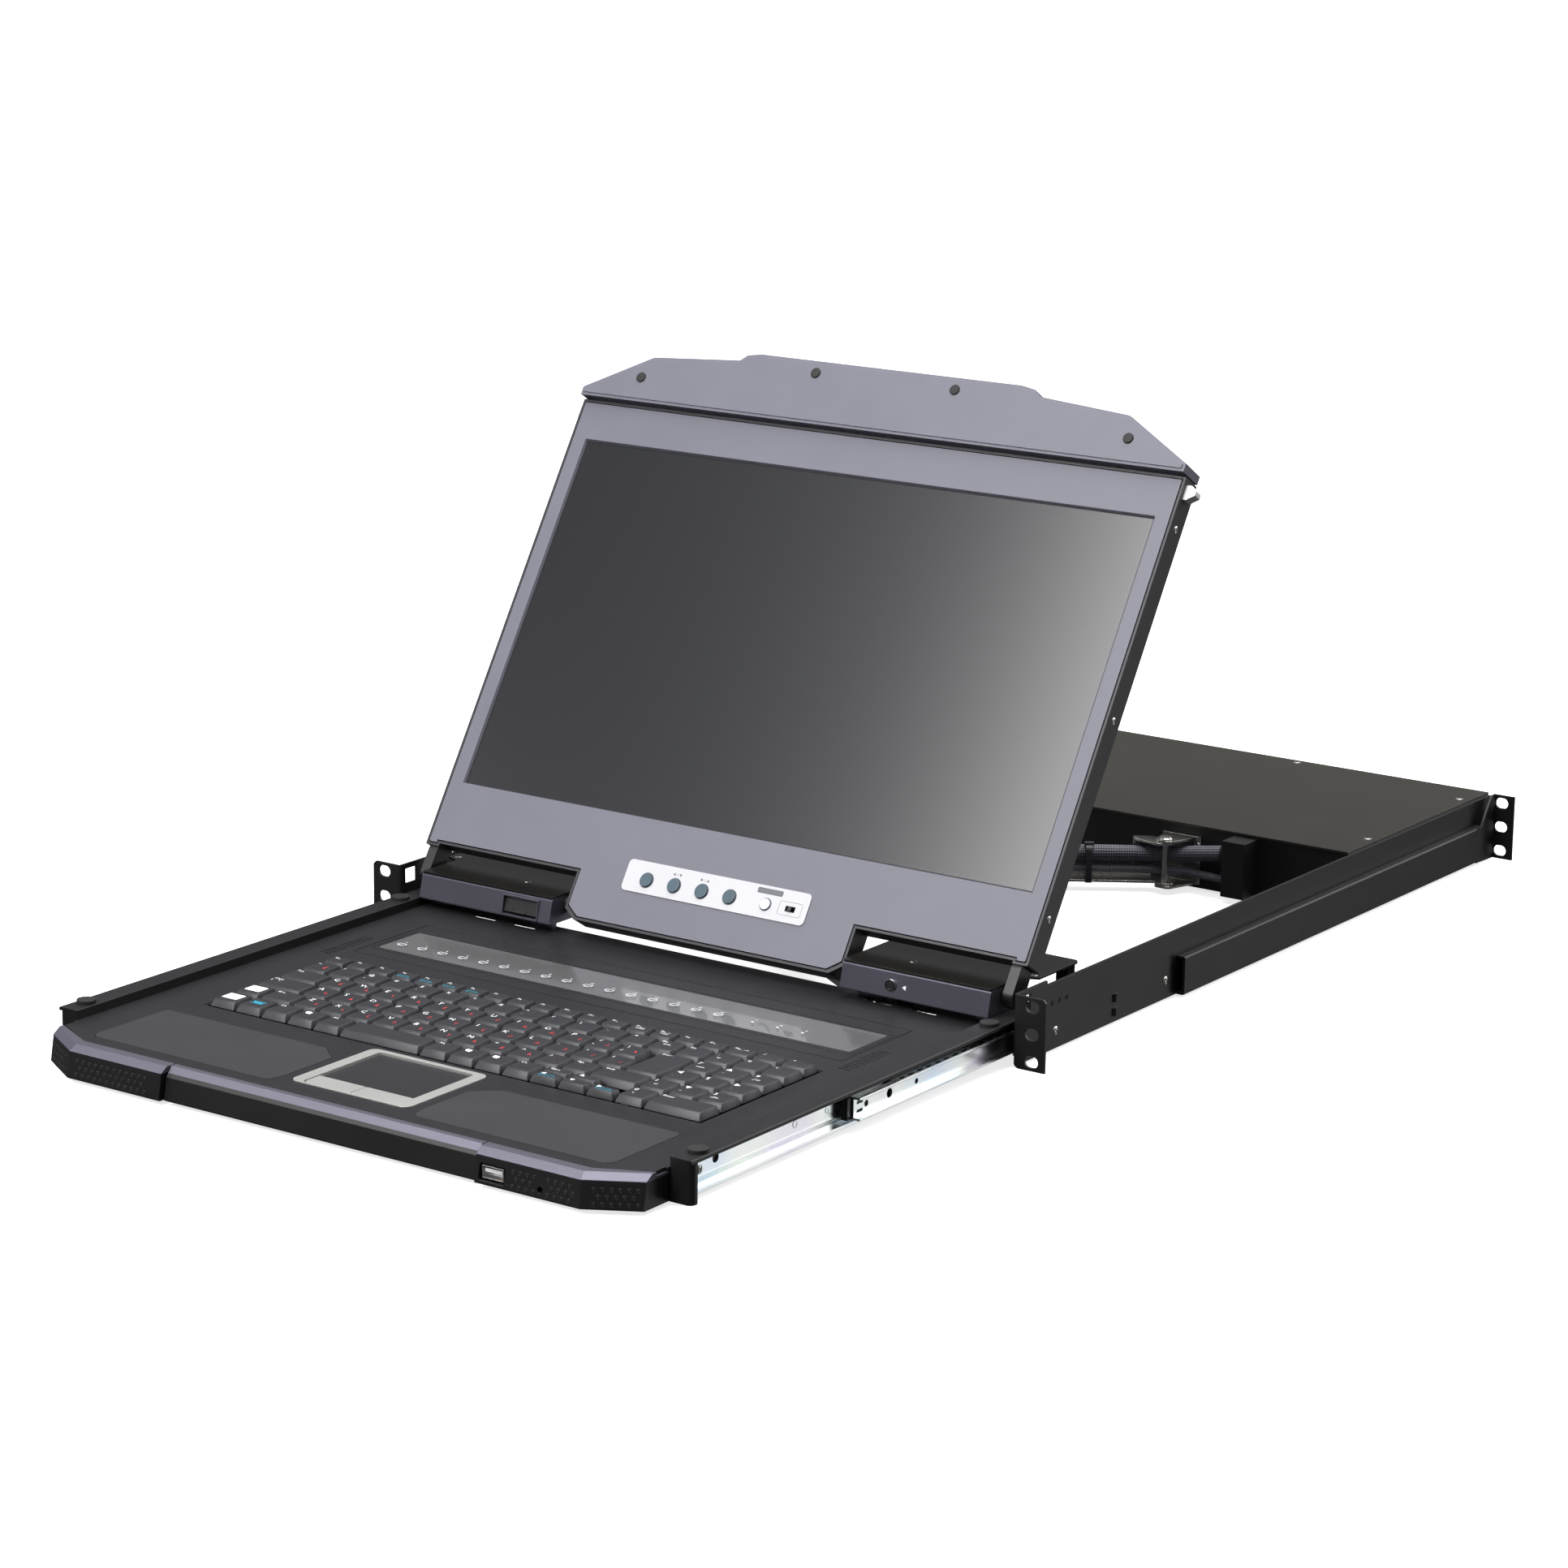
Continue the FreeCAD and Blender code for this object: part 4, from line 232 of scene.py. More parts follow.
def paint_with_sheen_above(name, low, high, level):
    """One paint below a height in metres; above it a pale satin metallic colour that is a painted sheen.
    """
    m = material(name, low, 0.42, grain=0.00003)
    tree = m.node_tree
    links = tree.links
    bsdf = tree.nodes["Principled BSDF"]
    coords = shade(tree, "TexCoord")
    split = shade(tree, "SeparateXYZ")
    links.new(coords.outputs["Object"], split.inputs["Vector"])
    above = shade(tree, "Math", "GREATER_THAN")
    above.inputs[1].default_value = level
    links.new(split.outputs["Z"], above.inputs[0])
    # the pale colour above the height is a painted sheen, the light the chamfer catches
    paint = shade(tree, "Mix", B=[*high, 1])
    links.new(above.outputs["Value"], paint.inputs["Factor"])
    links.new(bsdf.inputs["Base Color"].links[0].from_socket, paint.inputs["A"])
    links.new(paint.outputs["Result"], bsdf.inputs["Base Color"])
    metal = shade(tree, "Math", "MULTIPLY")
    metal.inputs[1].default_value = CHAMFER_METAL
    links.new(above.outputs["Value"], metal.inputs[0])
    links.new(metal.outputs["Value"], bsdf.inputs["Metallic"])
    return m


PAINT_BLACK = material("paint_black", srgb(21, 21, 22), 0.42, grain=0.00003)
PAINT_INSIDE = material("paint_inside", srgb(24, 24, 25), 0.46, grain=0.00003)
PAINT_OLIVE = material("paint_olive", srgb(50, 47, 41), 0.30, grain=0.00002)
PAINT_LAVENDER = material("paint_lavender", srgb(101, 101, 112), 0.46, grain=0.00002, edge_wear_and_highlight=0.4)
# dark grip paint with a painted sheen on its chamfer
GRIP_PAINT_AND_SHEEN = paint_with_sheen_above("grip_paint_and_sheen", srgb(17, 17, 18), srgb(102, 100, 112), GRIP_SHEEN_Z)
PAINT_BACK = material("paint_back", srgb(36, 36, 39), 0.42, grain=0.00003)
PAINT_HINGE = material("paint_hinge", srgb(86, 85, 96), 0.34, metal=0.6, grain=0.00002, edge_wear_and_highlight=0.3)
PAINT_LID = material("paint_lid", srgb(24, 23, 21), 0.24, grain=0.00001)
DECK = material("deck", srgb(25, 25, 27), 0.42, grain=0.00005, grain_size=1500.0)
PALM = material("palm", srgb(42, 42, 46), 0.52, grain=0.00008, grain_size=1100.0)
KEY = material("key", srgb(38, 38, 42), 0.42, grain=0.00004, grain_size=2600.0, edge_wear_and_highlight=0.35)
WELL = material("well", srgb(16, 16, 18), 0.60)
LETTER_WHITE = material("letter_white", srgb(232, 234, 236), 0.5, vary=0.03, edge_wear_and_highlight=0.0)
LETTER_RED = material("letter_red", srgb(226, 52, 44), 0.5, vary=0.05, edge_wear_and_highlight=0.0)
LETTER_BLUE = material("letter_blue", srgb(40, 158, 186), 0.5, vary=0.05, edge_wear_and_highlight=0.0)
# grey of the printed plate marks, and of the rings round the buttons, which are painted shade of their
# gaps
PRINT_AND_SHADE_GREY = material("print_and_shade_grey", srgb(96, 98, 104), 0.5, vary=0.05, edge_wear_and_highlight=0.0)
SILVER = material("pad_silver", srgb(176, 177, 173), 0.40, metal=0.5, vary=0.04)
PAD = material("pad_black", srgb(32, 32, 34), 0.40, grain=0.00003, grain_size=3000.0)
STRIP = material("strip_gloss", srgb(88, 88, 88), 0.18, vary=0.05, grain=0.0, Coat_Weight=0.6,
                 Coat_Roughness=0.05)
RUBBER = material("rubber", srgb(24, 24, 24), 0.65, grain=0.00005)
BLACK_PLASTIC = material("black_plastic", srgb(18, 18, 19), 0.35)
ZINC = zinc("zinc", 0.24)
NICKEL = material("nickel", srgb(206, 204, 198), 0.26, metal=1.0, vary=0.05, grain=0.000008)
STEEL_CAGE = material("cage_steel", srgb(150, 152, 156), 0.30, metal=1.0, vary=0.06)
TIN = material("tin", srgb(214, 214, 214), 0.28, metal=1.0, vary=0.04, grain=0.000005)
GOLD = material("contact", srgb(220, 182, 96), 0.3, metal=1.0, vary=0.05)
SCREEN = material("screen", srgb(11, 12, 17), 0.21, vary=0.02, patch=2.0, grain=0.0, edge_wear_and_highlight=0.0,
                  gloss_drift=0.0, Specular_IOR_Level=0.85)
PLATE_WHITE = material("plate_white", srgb(196, 196, 199), 0.30, vary=0.02, edge_wear_and_highlight=0.0)
BUTTON_WHITE = material("button_white", srgb(206, 212, 216), 0.3, vary=0.02, Coat_Weight=0.3)
BUTTON_BLUE = material("button_blue", srgb(74, 92, 102), 0.22, vary=0.15, patch=160.0, Coat_Weight=0.6)
CATCH_WHITE = material("catch_white", srgb(238, 238, 234), 0.42, vary=0.03)
# painted shade: near-black fills that stand where holes, bores, recesses and crevices fall into shade
PAINTED_SHADE = material("painted_recess_shade", srgb(8, 8, 9), 0.7, edge_wear_and_highlight=0.0)
BRAID_THICK = braid("braid_thick", srgb(24, 24, 28), srgb(128, 128, 140), 9, 3.2)
BRAID_THIN = braid("braid_thin", srgb(28, 28, 32), srgb(138, 138, 150), 6, 2.4)
TIE = material("tie_nylon", srgb(52, 52, 54), 0.4)

FINISHES = {
    "chassis_side_left": PAINT_BLACK, "chassis_side_right": PAINT_BLACK,
    "rear_bracket_left": PAINT_BLACK, "rear_bracket_right": PAINT_BLACK,
    "rear_box_base": PAINT_INSIDE, "rear_box_lid": PAINT_OLIVE,
    "slide_outers": ZINC, "slide_middles": ZINC, "slide_inners": ZINC,
    "slide_stops": BLACK_PLASTIC, "ball_cages": STEEL_CAGE, "ball_cages_outer": STEEL_CAGE,
    "rear_sockets": TIN, "cable_grommet": RUBBER,
    "arm_wall_bracket": NICKEL, "arm_tray_bracket": NICKEL,
    "arm_link_wall": NICKEL, "arm_link_tray": NICKEL,
    "tray_pan": PAINT_BLACK, "deck_cover": DECK, "front_grip": GRIP_PAINT_AND_SHEEN,
    "palm_pads": PALM, "touchpad_frame": SILVER, "touchpad": PAD,
    "touchpad_button_left": SILVER, "touchpad_button_right": SILVER,
    "status_strip": STRIP, "tray_sockets": TIN, "tray_bumpers": RUBBER, "key_plate": WELL,
    "hinge_box_left": PAINT_HINGE, "hinge_box_right": PAINT_HINGE, "hinge_box_lids": PAINT_LID,
    "port_flap": PAINT_BLACK, "display_bezel": PAINT_LAVENDER, "visor": PAINT_LAVENDER,
    "display_back": PAINT_BACK, "hinge_arms": PAINT_BLACK, "lcd_panel": SCREEN,
    "button_plate": PLATE_WHITE, "display_power_button": BUTTON_WHITE,
    "menu_button_1": BUTTON_BLUE, "menu_button_2": BUTTON_BLUE,
    "menu_button_3": BUTTON_BLUE, "menu_button_4": BUTTON_BLUE,
    "mode_switch": BLACK_PLASTIC, "catch_left": CATCH_WHITE, "catch_right": CATCH_WHITE,
    "power_rocker": BLACK_PLASTIC,
}
for node, finish in FINISHES.items():
    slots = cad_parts[node].data.materials
    for i in range(len(slots)):
        slots[i] = finish


# ---- forms -------------------------------------------
def add(name, form, finish, body, place=Matrix(), smooth=35.0):
    """Turns a form drawn in millimetres into an object that rides on a body."""
    form.transform(Matrix.Scale(MM, 4) @ place)
    bmesh.ops.recalc_face_normals(form, faces=form.faces)
    mesh = bpy.data.meshes.new(name)
    form.to_mesh(mesh)
    form.free()
    mesh.materials.append(finish)
    mesh.shade_smooth()
    mesh.set_sharp_from_angle(angle=radians(smooth))
    piece = bpy.data.objects.new(name, mesh)
    bpy.context.scene.collection.objects.link(piece)
    if body:
        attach(piece, body)
    return piece


def rounded(x0, x1, y0, y1, r, steps=3):
    """Corner points of a rectangle with rounded corners, anticlockwise."""
    centres = ((x1 - r, y1 - r), (x0 + r, y1 - r), (x0 + r, y0 + r), (x1 - r, y0 + r))
    points = []
    for quarter, (cx, cy) in enumerate(centres):
        for k in range(steps):
            a = (quarter + k / (steps - 1)) * pi / 2
            points.append((cx + r * cos(a), cy + r * sin(a)))
    return points


def skin(form, loops, place=Matrix(), closed=False):
    """Skins loops of equally many points; the first and last are capped unless the skin is closed."""
    rows = [[form.verts.new(place @ Vector(p)) for p in loop] for loop in loops]
    pairs = list(zip(rows, rows[1:]))
    if closed:
        pairs.append((rows[-1], rows[0]))
    for lower, upper in pairs:
        for k in range(len(lower)):
            n = (k + 1) % len(lower)
            form.faces.new((lower[k], lower[n], upper[n], upper[k]))
    if not closed:
        form.faces.new(rows[0][::-1])
        form.faces.new(rows[-1])


def slab(form, outline, z0, z1, place=Matrix()):
    """Straight solid over an outline, between two heights."""
    skin(form, [[(x, y, z) for x, y in outline] for z in (z0, z1)], place)


def frame_slab(form, outer, inner, z0, z1, place=Matrix()):
    """Slab between two outlines of equally many points."""
    loops = [[(x, y, z0) for x, y in outer], [(x, y, z1) for x, y in outer],
             [(x, y, z1) for x, y in inner], [(x, y, z0) for x, y in inner]]
    skin(form, loops, place, closed=True)


def inset(box, by, r, steps=3):
    """Rounded outline of a box (x0, x1, y0, y1) that is drawn in on every side."""
    x0, x1, y0, y1 = box
    return rounded(x0 + by, x1 - by, y0 + by, y1 - by, r, steps)


def around(x, y, half_x, half_y):
    """Box (x0, x1, y0, y1) about a middle."""
    return x - half_x, x + half_x, y - half_y, y + half_y


def turned(form, profile, place, sides=20):
    """Solid turned about the local z axis from (radius, height) pairs."""
    loops = []
    for r, z in profile:
        turns = [2 * pi * k / sides for k in range(sides)]
        loops.append([(r * cos(a), r * sin(a), z) for a in turns])
    skin(form, loops, place)


def facing(point, normal):
    """Place of a piece whose local z points along normal."""
    turn = Vector(normal).to_track_quat("Z", "Y").to_matrix().to_4x4()
    return Matrix.Translation(Vector(point)) @ turn


CROSS_TURN = 0.5          # radians


class Screws:
    """Screw heads of one body, with dark crosses as a second piece: painted shade of their cross
    recesses.
    """

    def __init__(self):
        self.heads = bmesh.new()
        self.cross_shades = bmesh.new()

    def put(self, point, normal, r=2.6, proud=0.9):
        place = facing(point, normal)
        dome = [(r, 0.15 * proud), (0.86 * r, 0.62 * proud), (0.5 * r, 0.95 * proud), (0.2 * r, proud)]
        turned(self.heads, [(r, -0.2), *dome], place)
        # dark cross on the dome: painted shade of the cross recess
        for turn in (0, pi / 2):
            arm = place @ Matrix.Rotation(turn + CROSS_TURN, 4, "Z")
            slab(self.cross_shades, rounded(-0.55 * r, 0.55 * r, -0.12 * r, 0.12 * r, 0.05 * r),
                 0.5 * proud, proud + 0.03, arm)

    def done(self, name, finish, body):
        add(name, self.heads, finish, body)
        add(name + "_cross_shades", self.cross_shades, PAINTED_SHADE, body)


# ---- studio ------------------------------------------
HORIZON_GREY = (0.10, 0.10, 0.11, 1)
ZENITH_WHITE = (0.95, 0.96, 1.0, 1)
SKY_STRENGTH = 0.60
FLOOR_HALF = 60000.0      # the floor reaches past every view of the part
FLOOR_TOP = -22.5
FLOOR_THICK = 2.0
FLOOR_GLOW = 0.75

# name, place, aim, size in metres, power in watts
LIGHTS = (
    ("overhead", (0.3, 0.5, 3.2), (0.0, 0.1, 0.0), (3.0, 3.0), 110.0),
    ("front_softbox", (-0.38, -1.37, 1.66), (0.0, 0.1, 0.15), (1.2, 1.4), 52.0),
    ("left_card", (-2.6, -1.4, 0.9), (0.0, 0.1, 0.1), (1.2, 1.6), 14.0),
    ("right_card", (2.3, 2.35, -0.8), (0.2, -0.1, 0.0), (1.2, 1.6), 7.0),
    ("rear_fill", (1.9, 3.2, 1.7), (0.0, 0.4, 0.0), (3.0, 2.4), 60.0),
)

SENSOR_WIDTH = 36.0       # millimetres, like the lens
LENS = 103.334
CAMERA_PLACE = (1.4851361, -2.0186396, 0.7375470)
CAMERA_RIGHT = Vector((0.81587325, 0.5781122, 0.01170987))
CAMERA_DOWN = Vector((0.15035676, -0.1925526, -0.9696991))
CAMERA_AHEAD = Vector((-0.55834012, 0.79291221, -0.24402159))


def sky(scene):
    """Grey low down and white overhead, so that glossy faces keep their shape."""
    world = bpy.data.worlds.new("studio")
    scene.world = world
    world.use_nodes = True
    tree = world.node_tree
    links = tree.links
    background = tree.nodes["Background"]
    coords = shade(tree, "TexCoord")
    split = shade(tree, "SeparateXYZ")
    ramp = shade(tree, "ValToRGB")
    height = shade(tree, "MapRange", From_Min=-1.0)
    links.new(coords.outputs["Generated"], split.inputs["Vector"])
    links.new(split.outputs["Z"], height.inputs["Value"])
    links.new(height.outputs["Result"], ramp.inputs["Fac"])
    low, high = ramp.color_ramp.elements
    low.position = 0.55
    low.color = HORIZON_GREY
    high.position = 0.95
    high.color = ZENITH_WHITE
    links.new(ramp.outputs["Color"], background.inputs["Color"])
    background.inputs["Strength"].default_value = SKY_STRENGTH


def floor():
    """Pale floor that glows a little towards the camera and lights nothing."""
    form = bmesh.new()
    outline = rounded(-FLOOR_HALF, FLOOR_HALF, -FLOOR_HALF, FLOOR_HALF, 9000, 8)
    slab(form, outline, FLOOR_TOP - FLOOR_THICK, FLOOR_TOP)
    pale = material("floor_pale", (0.92, 0.92, 0.92), 0.9, vary=0.01, edge_wear_and_highlight=0.0,
                    Emission_Strength=FLOOR_GLOW, Emission_Color=(1, 1, 1, 1))
    ground = add("floor", form, pale, None)
    ground.visible_diffuse = False
    ground.visible_glossy = False


def lamps(scene):
    for name, place, aim, size, watts in LIGHTS:
        lamp = bpy.data.lights.new(name, "AREA")
        lamp.shape = "RECTANGLE"
        lamp.size, lamp.size_y = size
        lamp.energy = watts
        rig = bpy.data.objects.new(name, lamp)
        rig.location = place
        rig.rotation_euler = (Vector(aim) - Vector(place)).to_track_quat("-Z", "Y").to_euler()
        scene.collection.objects.link(rig)


def view(scene):
    lens = bpy.data.cameras.new("camera")
    lens.sensor_width = SENSOR_WIDTH
    lens.lens = LENS
    camera = bpy.data.objects.new("camera", lens)
    turn = Matrix((CAMERA_RIGHT, -CAMERA_DOWN, -CAMERA_AHEAD)).transposed().to_4x4()
    camera.matrix_world = Matrix.Translation(CAMERA_PLACE) @ turn
    scene.collection.objects.link(camera)
    scene.camera = camera


def studio():
    scene = bpy.context.scene
    scene.view_settings.view_transform = "Standard"
    sky(scene)
    floor()
    lamps(scene)
    view(scene)


# ---- keyboard ----------------------------------------
ROW_WIDTHS = {
    1: [1, 1, 1, 1, 1, 3, 1, 1, 1, 1],
    2: [1, 1.25, 1, 1, 1, 1, 1, 1, 1, 1, 1, 1, 1, 1.75, 1, 1, 1],
    3: [1.75] + [1] * 12,
    4: [1.5] + [1] * 12,
    5: [1] * 18,
    6: [15 / 17] * 17 + [1, 1, 1],
}
ENTER_WIDTH = 1.25
# One entry a key, in the order of key_cells: main legend, shifted legend, second alphabet.
LEGENDS = {
    6: [("Esc",), ("F1",), ("F2",), ("F3",), ("F4",), ("F5",), ("F6",), ("F7",), ("F8",), ("F9",),
        ("F10",), ("F11",), ("F12",), ("PrtSc", "SysRq"), ("Pause", "Break"), ("Ins",), ("Del",),
        ("NumLk",), ("/",), ("*",)],
    5: [("`", "~", "Ё"), ("1", "!"), ("2", "@"), ("3", "#"), ("4", "$"), ("5", "%"), ("6", "^"),
        ("7", "&"), ("8", "*"), ("9", "("), ("0", ")"), ("-", "_"), ("=", "+"), ("Back", "Space"),
        ("ScrLk",), (".", "Del"), ("+",), ("-",)],
    4: [("Tab",), ("Q", "", "Й"), ("W", "", "Ц"), ("E", "", "У"), ("R", "", "К"), ("T", "", "Е"),
        ("Y", "", "Н"), ("U", "", "Г"), ("I", "", "Ш"), ("O", "", "Щ"), ("P", "", "З"),
        ("[", "{", "Х"), ("]", "}", "Ъ"), ("7", "Home"), ("8", "▲"), ("9", "PgUp")],
    3: [("Caps", "Lock"), ("A", "", "Ф"), ("S", "", "Ы"), ("D", "", "В"), ("F", "", "А"),
        ("G", "", "П"), ("H", "", "Р"), ("J", "", "О"), ("K", "", "Л"), ("L", "", "Д"),
        (";", ":", "Ж"), ("'", '"', "Э"), ("\\", "|", "/"), ("Enter",), ("4", "◄"), ("5",), ("6", "►")],
    2: [("",), ("Shift",), ("Z", "", "Я"), ("X", "", "Ч"), ("C", "", "С"), ("V", "", "М"),
        ("B", "", "И"), ("N", "", "Т"), ("M", "", "Ь"), (",", "<", "Б"), (".", ">", "Ю"),
        ("/", "?", "."), ("PgUp",), ("Shift",), ("1", "End"), ("2", "▼"), ("3", "PgDn")],
    1: [("",), ("",), ("Ctrl",), ("",), ("Alt",), ("",), ("Alt",), ("",), ("",), ("Ctrl",),
        ("◄",), ("▼",), ("►",), ("PgDn",), ("▲",), ("0", "Ins"), ("Enter",)],
}
# Keys with a printed block or box, as (row, place in the row).
WHITE_BLOCKS = ((2, 0), (1, 0))
PLAIN_MARKS = ((1, 3), (1, 7), (1, 8))
BLUE_BOXES = ((6, 3), (6, 4), (6, 5), (6, 6), (1, 1), (1, 10), (1, 12))

# The rings that make up a cap: share of the way from foot to top, inset, height over the foot.
CAP_RINGS = ((0.0, 0.0, 0.0), (0.12, 0.0, 0.75), (0.86, 0.0, 3.75), (0.98, 0.05, 4.2), (1.0, 0.45, 4.38))
DISH_RINGS = (0.86, 0.66, 0.42, 0.16)

SHORT_KEY = 11.0          # the tops of function keys and half-depth keys are less deep than this

# Where a legend's lines are printed: distance from the top's left edge, distance of the baseline
# from its far edge, letter size and how much wider the letters are.
LAYOUTS = {
    "short_word": ((2.0, 2.9, 2.7, 1.1), (2.0, 5.4, 2.7, 1.1)),
    "short_sign": ((2.0, 2.9, 3.4, 1.1), (2.0, 5.4, 2.7, 1.1)),
    "word": ((1.3, 3.4, 2.9, 1.15), (1.3, 6.6, 2.9, 1.15)),
    "digit_and_word": ((1.9, 4.6, 4.4, 1.1), (1.7, 9.0, 2.7, 1.15)),
    "two_signs": ((1.7, 9.6, 4.2, 1.1), (1.7, 4.6, 4.0, 1.1)),
    "letter": ((1.7, 5.0, 5.2, 1.1),),
}
SECOND_FROM_RIGHT = 5.4
SECOND_DROP = 9.8
SECOND_SIZE = 4.6
SECOND_WIDE = 1.05
PRINT_THICK = 0.024
PRINT_LIFT = 0.008


def key_span(row):
    y0 = KEYS_Y0 + (row - 1) * KEY_ROW
    return y0, y0 + (TOP_ROW_DEPTH if row == 6 else KEY_ROW)


def key_cells(row):
    """(x0, x1, y0, y1) of each key of a row."""
    y0, y1 = key_span(row)
    cells = []
    x = 0.0
    for width in ROW_WIDTHS[row]:
        cells.append((x, x + width, y0, y1))
        x += width
    if row == 1:
        mid = (y0 + y1) / 2
        cells += [(x + k, x + k + 1, y0, mid) for k in range(3)]
        cells += [(x + k, x + k + 1, mid, y1) for k in range(2)]
        cells += [(x + 3, x + 4, y0, y1), (x + 4, x + 6, y0, y1)]
    if row == 3:
        cells.append((x, x + ENTER_WIDTH, y0, key_span(4)[1]))
    if row in (3, 4):
        cells += [(15 + k, 16 + k, y0, y1) for k in range(3)]
    return [(KEYS_X0 + a * KEY_U, KEYS_X0 + b * KEY_U, c, d) for a, b, c, d in cells]


def key_top(cell):
    """The flat top of a key: (x0, x1, y0, y1)."""
    g = KEY_GAP / 2
    x0, x1, y0, y1 = cell
    deep = min(1.0, (y1 - y0) / KEY_ROW + 0.15)
    front = y0 + g + KEY_DRAFT_FRONT * deep
    back = y1 - g - KEY_DRAFT_BACK * deep
    return x0 + g + KEY_DRAFT_X, x1 - g - KEY_DRAFT_X, front, back


def dish(cell, x, y):
    """Height of a key's dished top at a point."""
    x0, x1, y0, y1 = key_top(cell)
    u = min(1, abs(2 * (x - x0) / (x1 - x0) - 1))
    v = min(1, abs(2 * (y - y0) / (y1 - y0) - 1))
    return KEY_TOP - DISH * (1 - u * u) * (1 - v * v)


def keycap(form, cell):
    """Tapered cap with rounded shoulders and a dished top."""
    g = KEY_GAP / 2
    foot = (cell[0] + g, cell[1] - g, cell[2] + g, cell[3] - g)
    top = key_top(cell)
    loops = []
    for share, by, z in CAP_RINGS:
        box = [a + (b - a) * share for a, b in zip(foot, top)]
        ring = inset(box, by, 0.9 - 0.3 * share)
        loops.append([(x, y, KEY_TOP - KEY_HEIGHT + z) for x, y in ring])
    cx, cy = (top[0] + top[1]) / 2, (top[2] + top[3]) / 2
    rim = [(x, y) for x, y, z in loops[-1]]
    for size in DISH_RINGS:
        ring = [(cx + (x - cx) * size, cy + (y - cy) * size) for x, y in rim]
        loops.append([(x, y, dish(cell, x, y)) for x, y in ring])
    skin(form, loops)


letter_meshes = {}


def letters(text):
    """Thin letters of the built-in font at size 1, drawn once a text."""
    if text not in letter_meshes:
        curve = bpy.data.curves.new("letters", "FONT")
        curve.body = text
        curve.resolution_u = 2
        curve.extrude = 0.01
        holder = bpy.data.objects.new("letters", curve)
        letter_meshes[text] = bpy.data.meshes.new_from_object(holder)
        bpy.data.objects.remove(holder)
        bpy.data.curves.remove(curve)
    return letter_meshes[text]


def stamp(form, text, x, y, size, height, wide=1.0, anchor=0.0):
    """Puts letters with their left edge (or the share anchor of their width) at x and baseline at y."""
    mesh = letters(text)
    if not mesh.vertices:
        return
    left = min(v.co.x for v in mesh.vertices)
    right = max(v.co.x for v in mesh.vertices)
    shift = -left - (right - left) * anchor
    made = []
    for v in mesh.vertices:
        made.append(form.verts.new((x + (v.co.x + shift) * size * wide, y + v.co.y * size, v.co.z)))
    for vert in made:
        lift = PRINT_LIFT + (PRINT_THICK if vert.co.z > 0 else 0)
        vert.co.z = height(vert.co.x, vert.co.y) + lift
    for face in mesh.polygons:
        corners = [made[i] for i in face.vertices]
        if len(set(corners)) == len(corners):
            form.faces.new(corners)


def flat_mark(form, outline, height, hole=None):
    """Thin printed shape that follows the key's dish."""
    if hole:
        frame_slab(form, outline, hole, 0.0, 0.0)
    else:
        slab(form, outline, 0.0, 0.0)
    count = len(outline) * (4 if hole else 2)
    form.verts.ensure_lookup_table()
    loop = len(outline)
    for k, vert in enumerate(form.verts[-count:]):
        upper = (k // loop) in (1, 2) if hole else k >= loop
        vert.co.z = height(vert.co.x, vert.co.y) + PRINT_LIFT + (PRINT_THICK if upper else 0)


def layout(main, shifted, short):
    """Which of LAYOUTS a key's legend follows."""
    if short:
        return "short_word" if len(main) > 1 else "short_sign"
    if len(main) > 1:
        return "word"
    if main.isdigit() and len(shifted) > 1 or main == "." and shifted == "Del":
        return "digit_and_word"
    return "two_signs" if shifted else "letter"


def legend(forms, row, index, cell):
    """Prints one key."""
    white, red, blue = forms
    x0, x1, y0, y1 = key_top(cell)

    def height(x, y):
        return dish(cell, x, y)

    main, shifted, second = (LEGENDS[row][index] + ("", "", ""))[:3]
    short = y1 - y0 < SHORT_KEY
    if (row, index) in WHITE_BLOCKS:
        flat_mark(white, rounded(x0 + 1.6, x1 - 2.2, y0 + 3.6, y1 - 2.0, 0.9), height)
        return
    if (row, index) in PLAIN_MARKS:
        flat_mark(white, rounded(x0 + 1.9, x0 + 5.9, y1 - 6.0, y1 - 2.4, 0.5), height)
        return
    if (row, index) in BLUE_BOXES:
        if short:
            box = (x0 + 2.6, x1 - 2.6, y0 + 0.6, y0 + 3.4)
        else:
            box = (x0 + 2.0, x1 - 3.6, y0 + 5.2, y0 + 9.6)
            flat_mark(blue, inset(box, 1.2, 0.3), height)
        flat_mark(blue, inset(box, 0, 0.5), height, inset(box, 0.4, 0.2))
    if main:
        lines = zip((main, shifted), LAYOUTS[layout(main, shifted, short)])
        for text, (indent, drop, size, wide) in lines:
            if text:
                stamp(white, text, x0 + indent, y1 - drop, size, height, wide)
    if second and not short and len(main) == 1:
        stamp(red, second, x1 - SECOND_FROM_RIGHT, y1 - SECOND_DROP, SECOND_SIZE, height, SECOND_WIDE)


def keyboard():
    for row in ROW_WIDTHS:
        body = "keys_row_%d" % row
        caps = bmesh.new()
        forms = (bmesh.new(), bmesh.new(), bmesh.new())
        for index, cell in enumerate(key_cells(row)):
            keycap(caps, cell)
            legend(forms, row, index, cell)
        piece = add("keycaps_row_%d" % row, caps, KEY, body, smooth=40.0)
        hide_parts(body)
        inks = (("white", LETTER_WHITE), ("red", LETTER_RED), ("blue", LETTER_BLUE))
        for form, (ink, finish) in zip(forms, inks):
            if form.verts:
                add("legends_%s_row_%d" % (ink, row), form, finish, body)
            else:
                form.free()


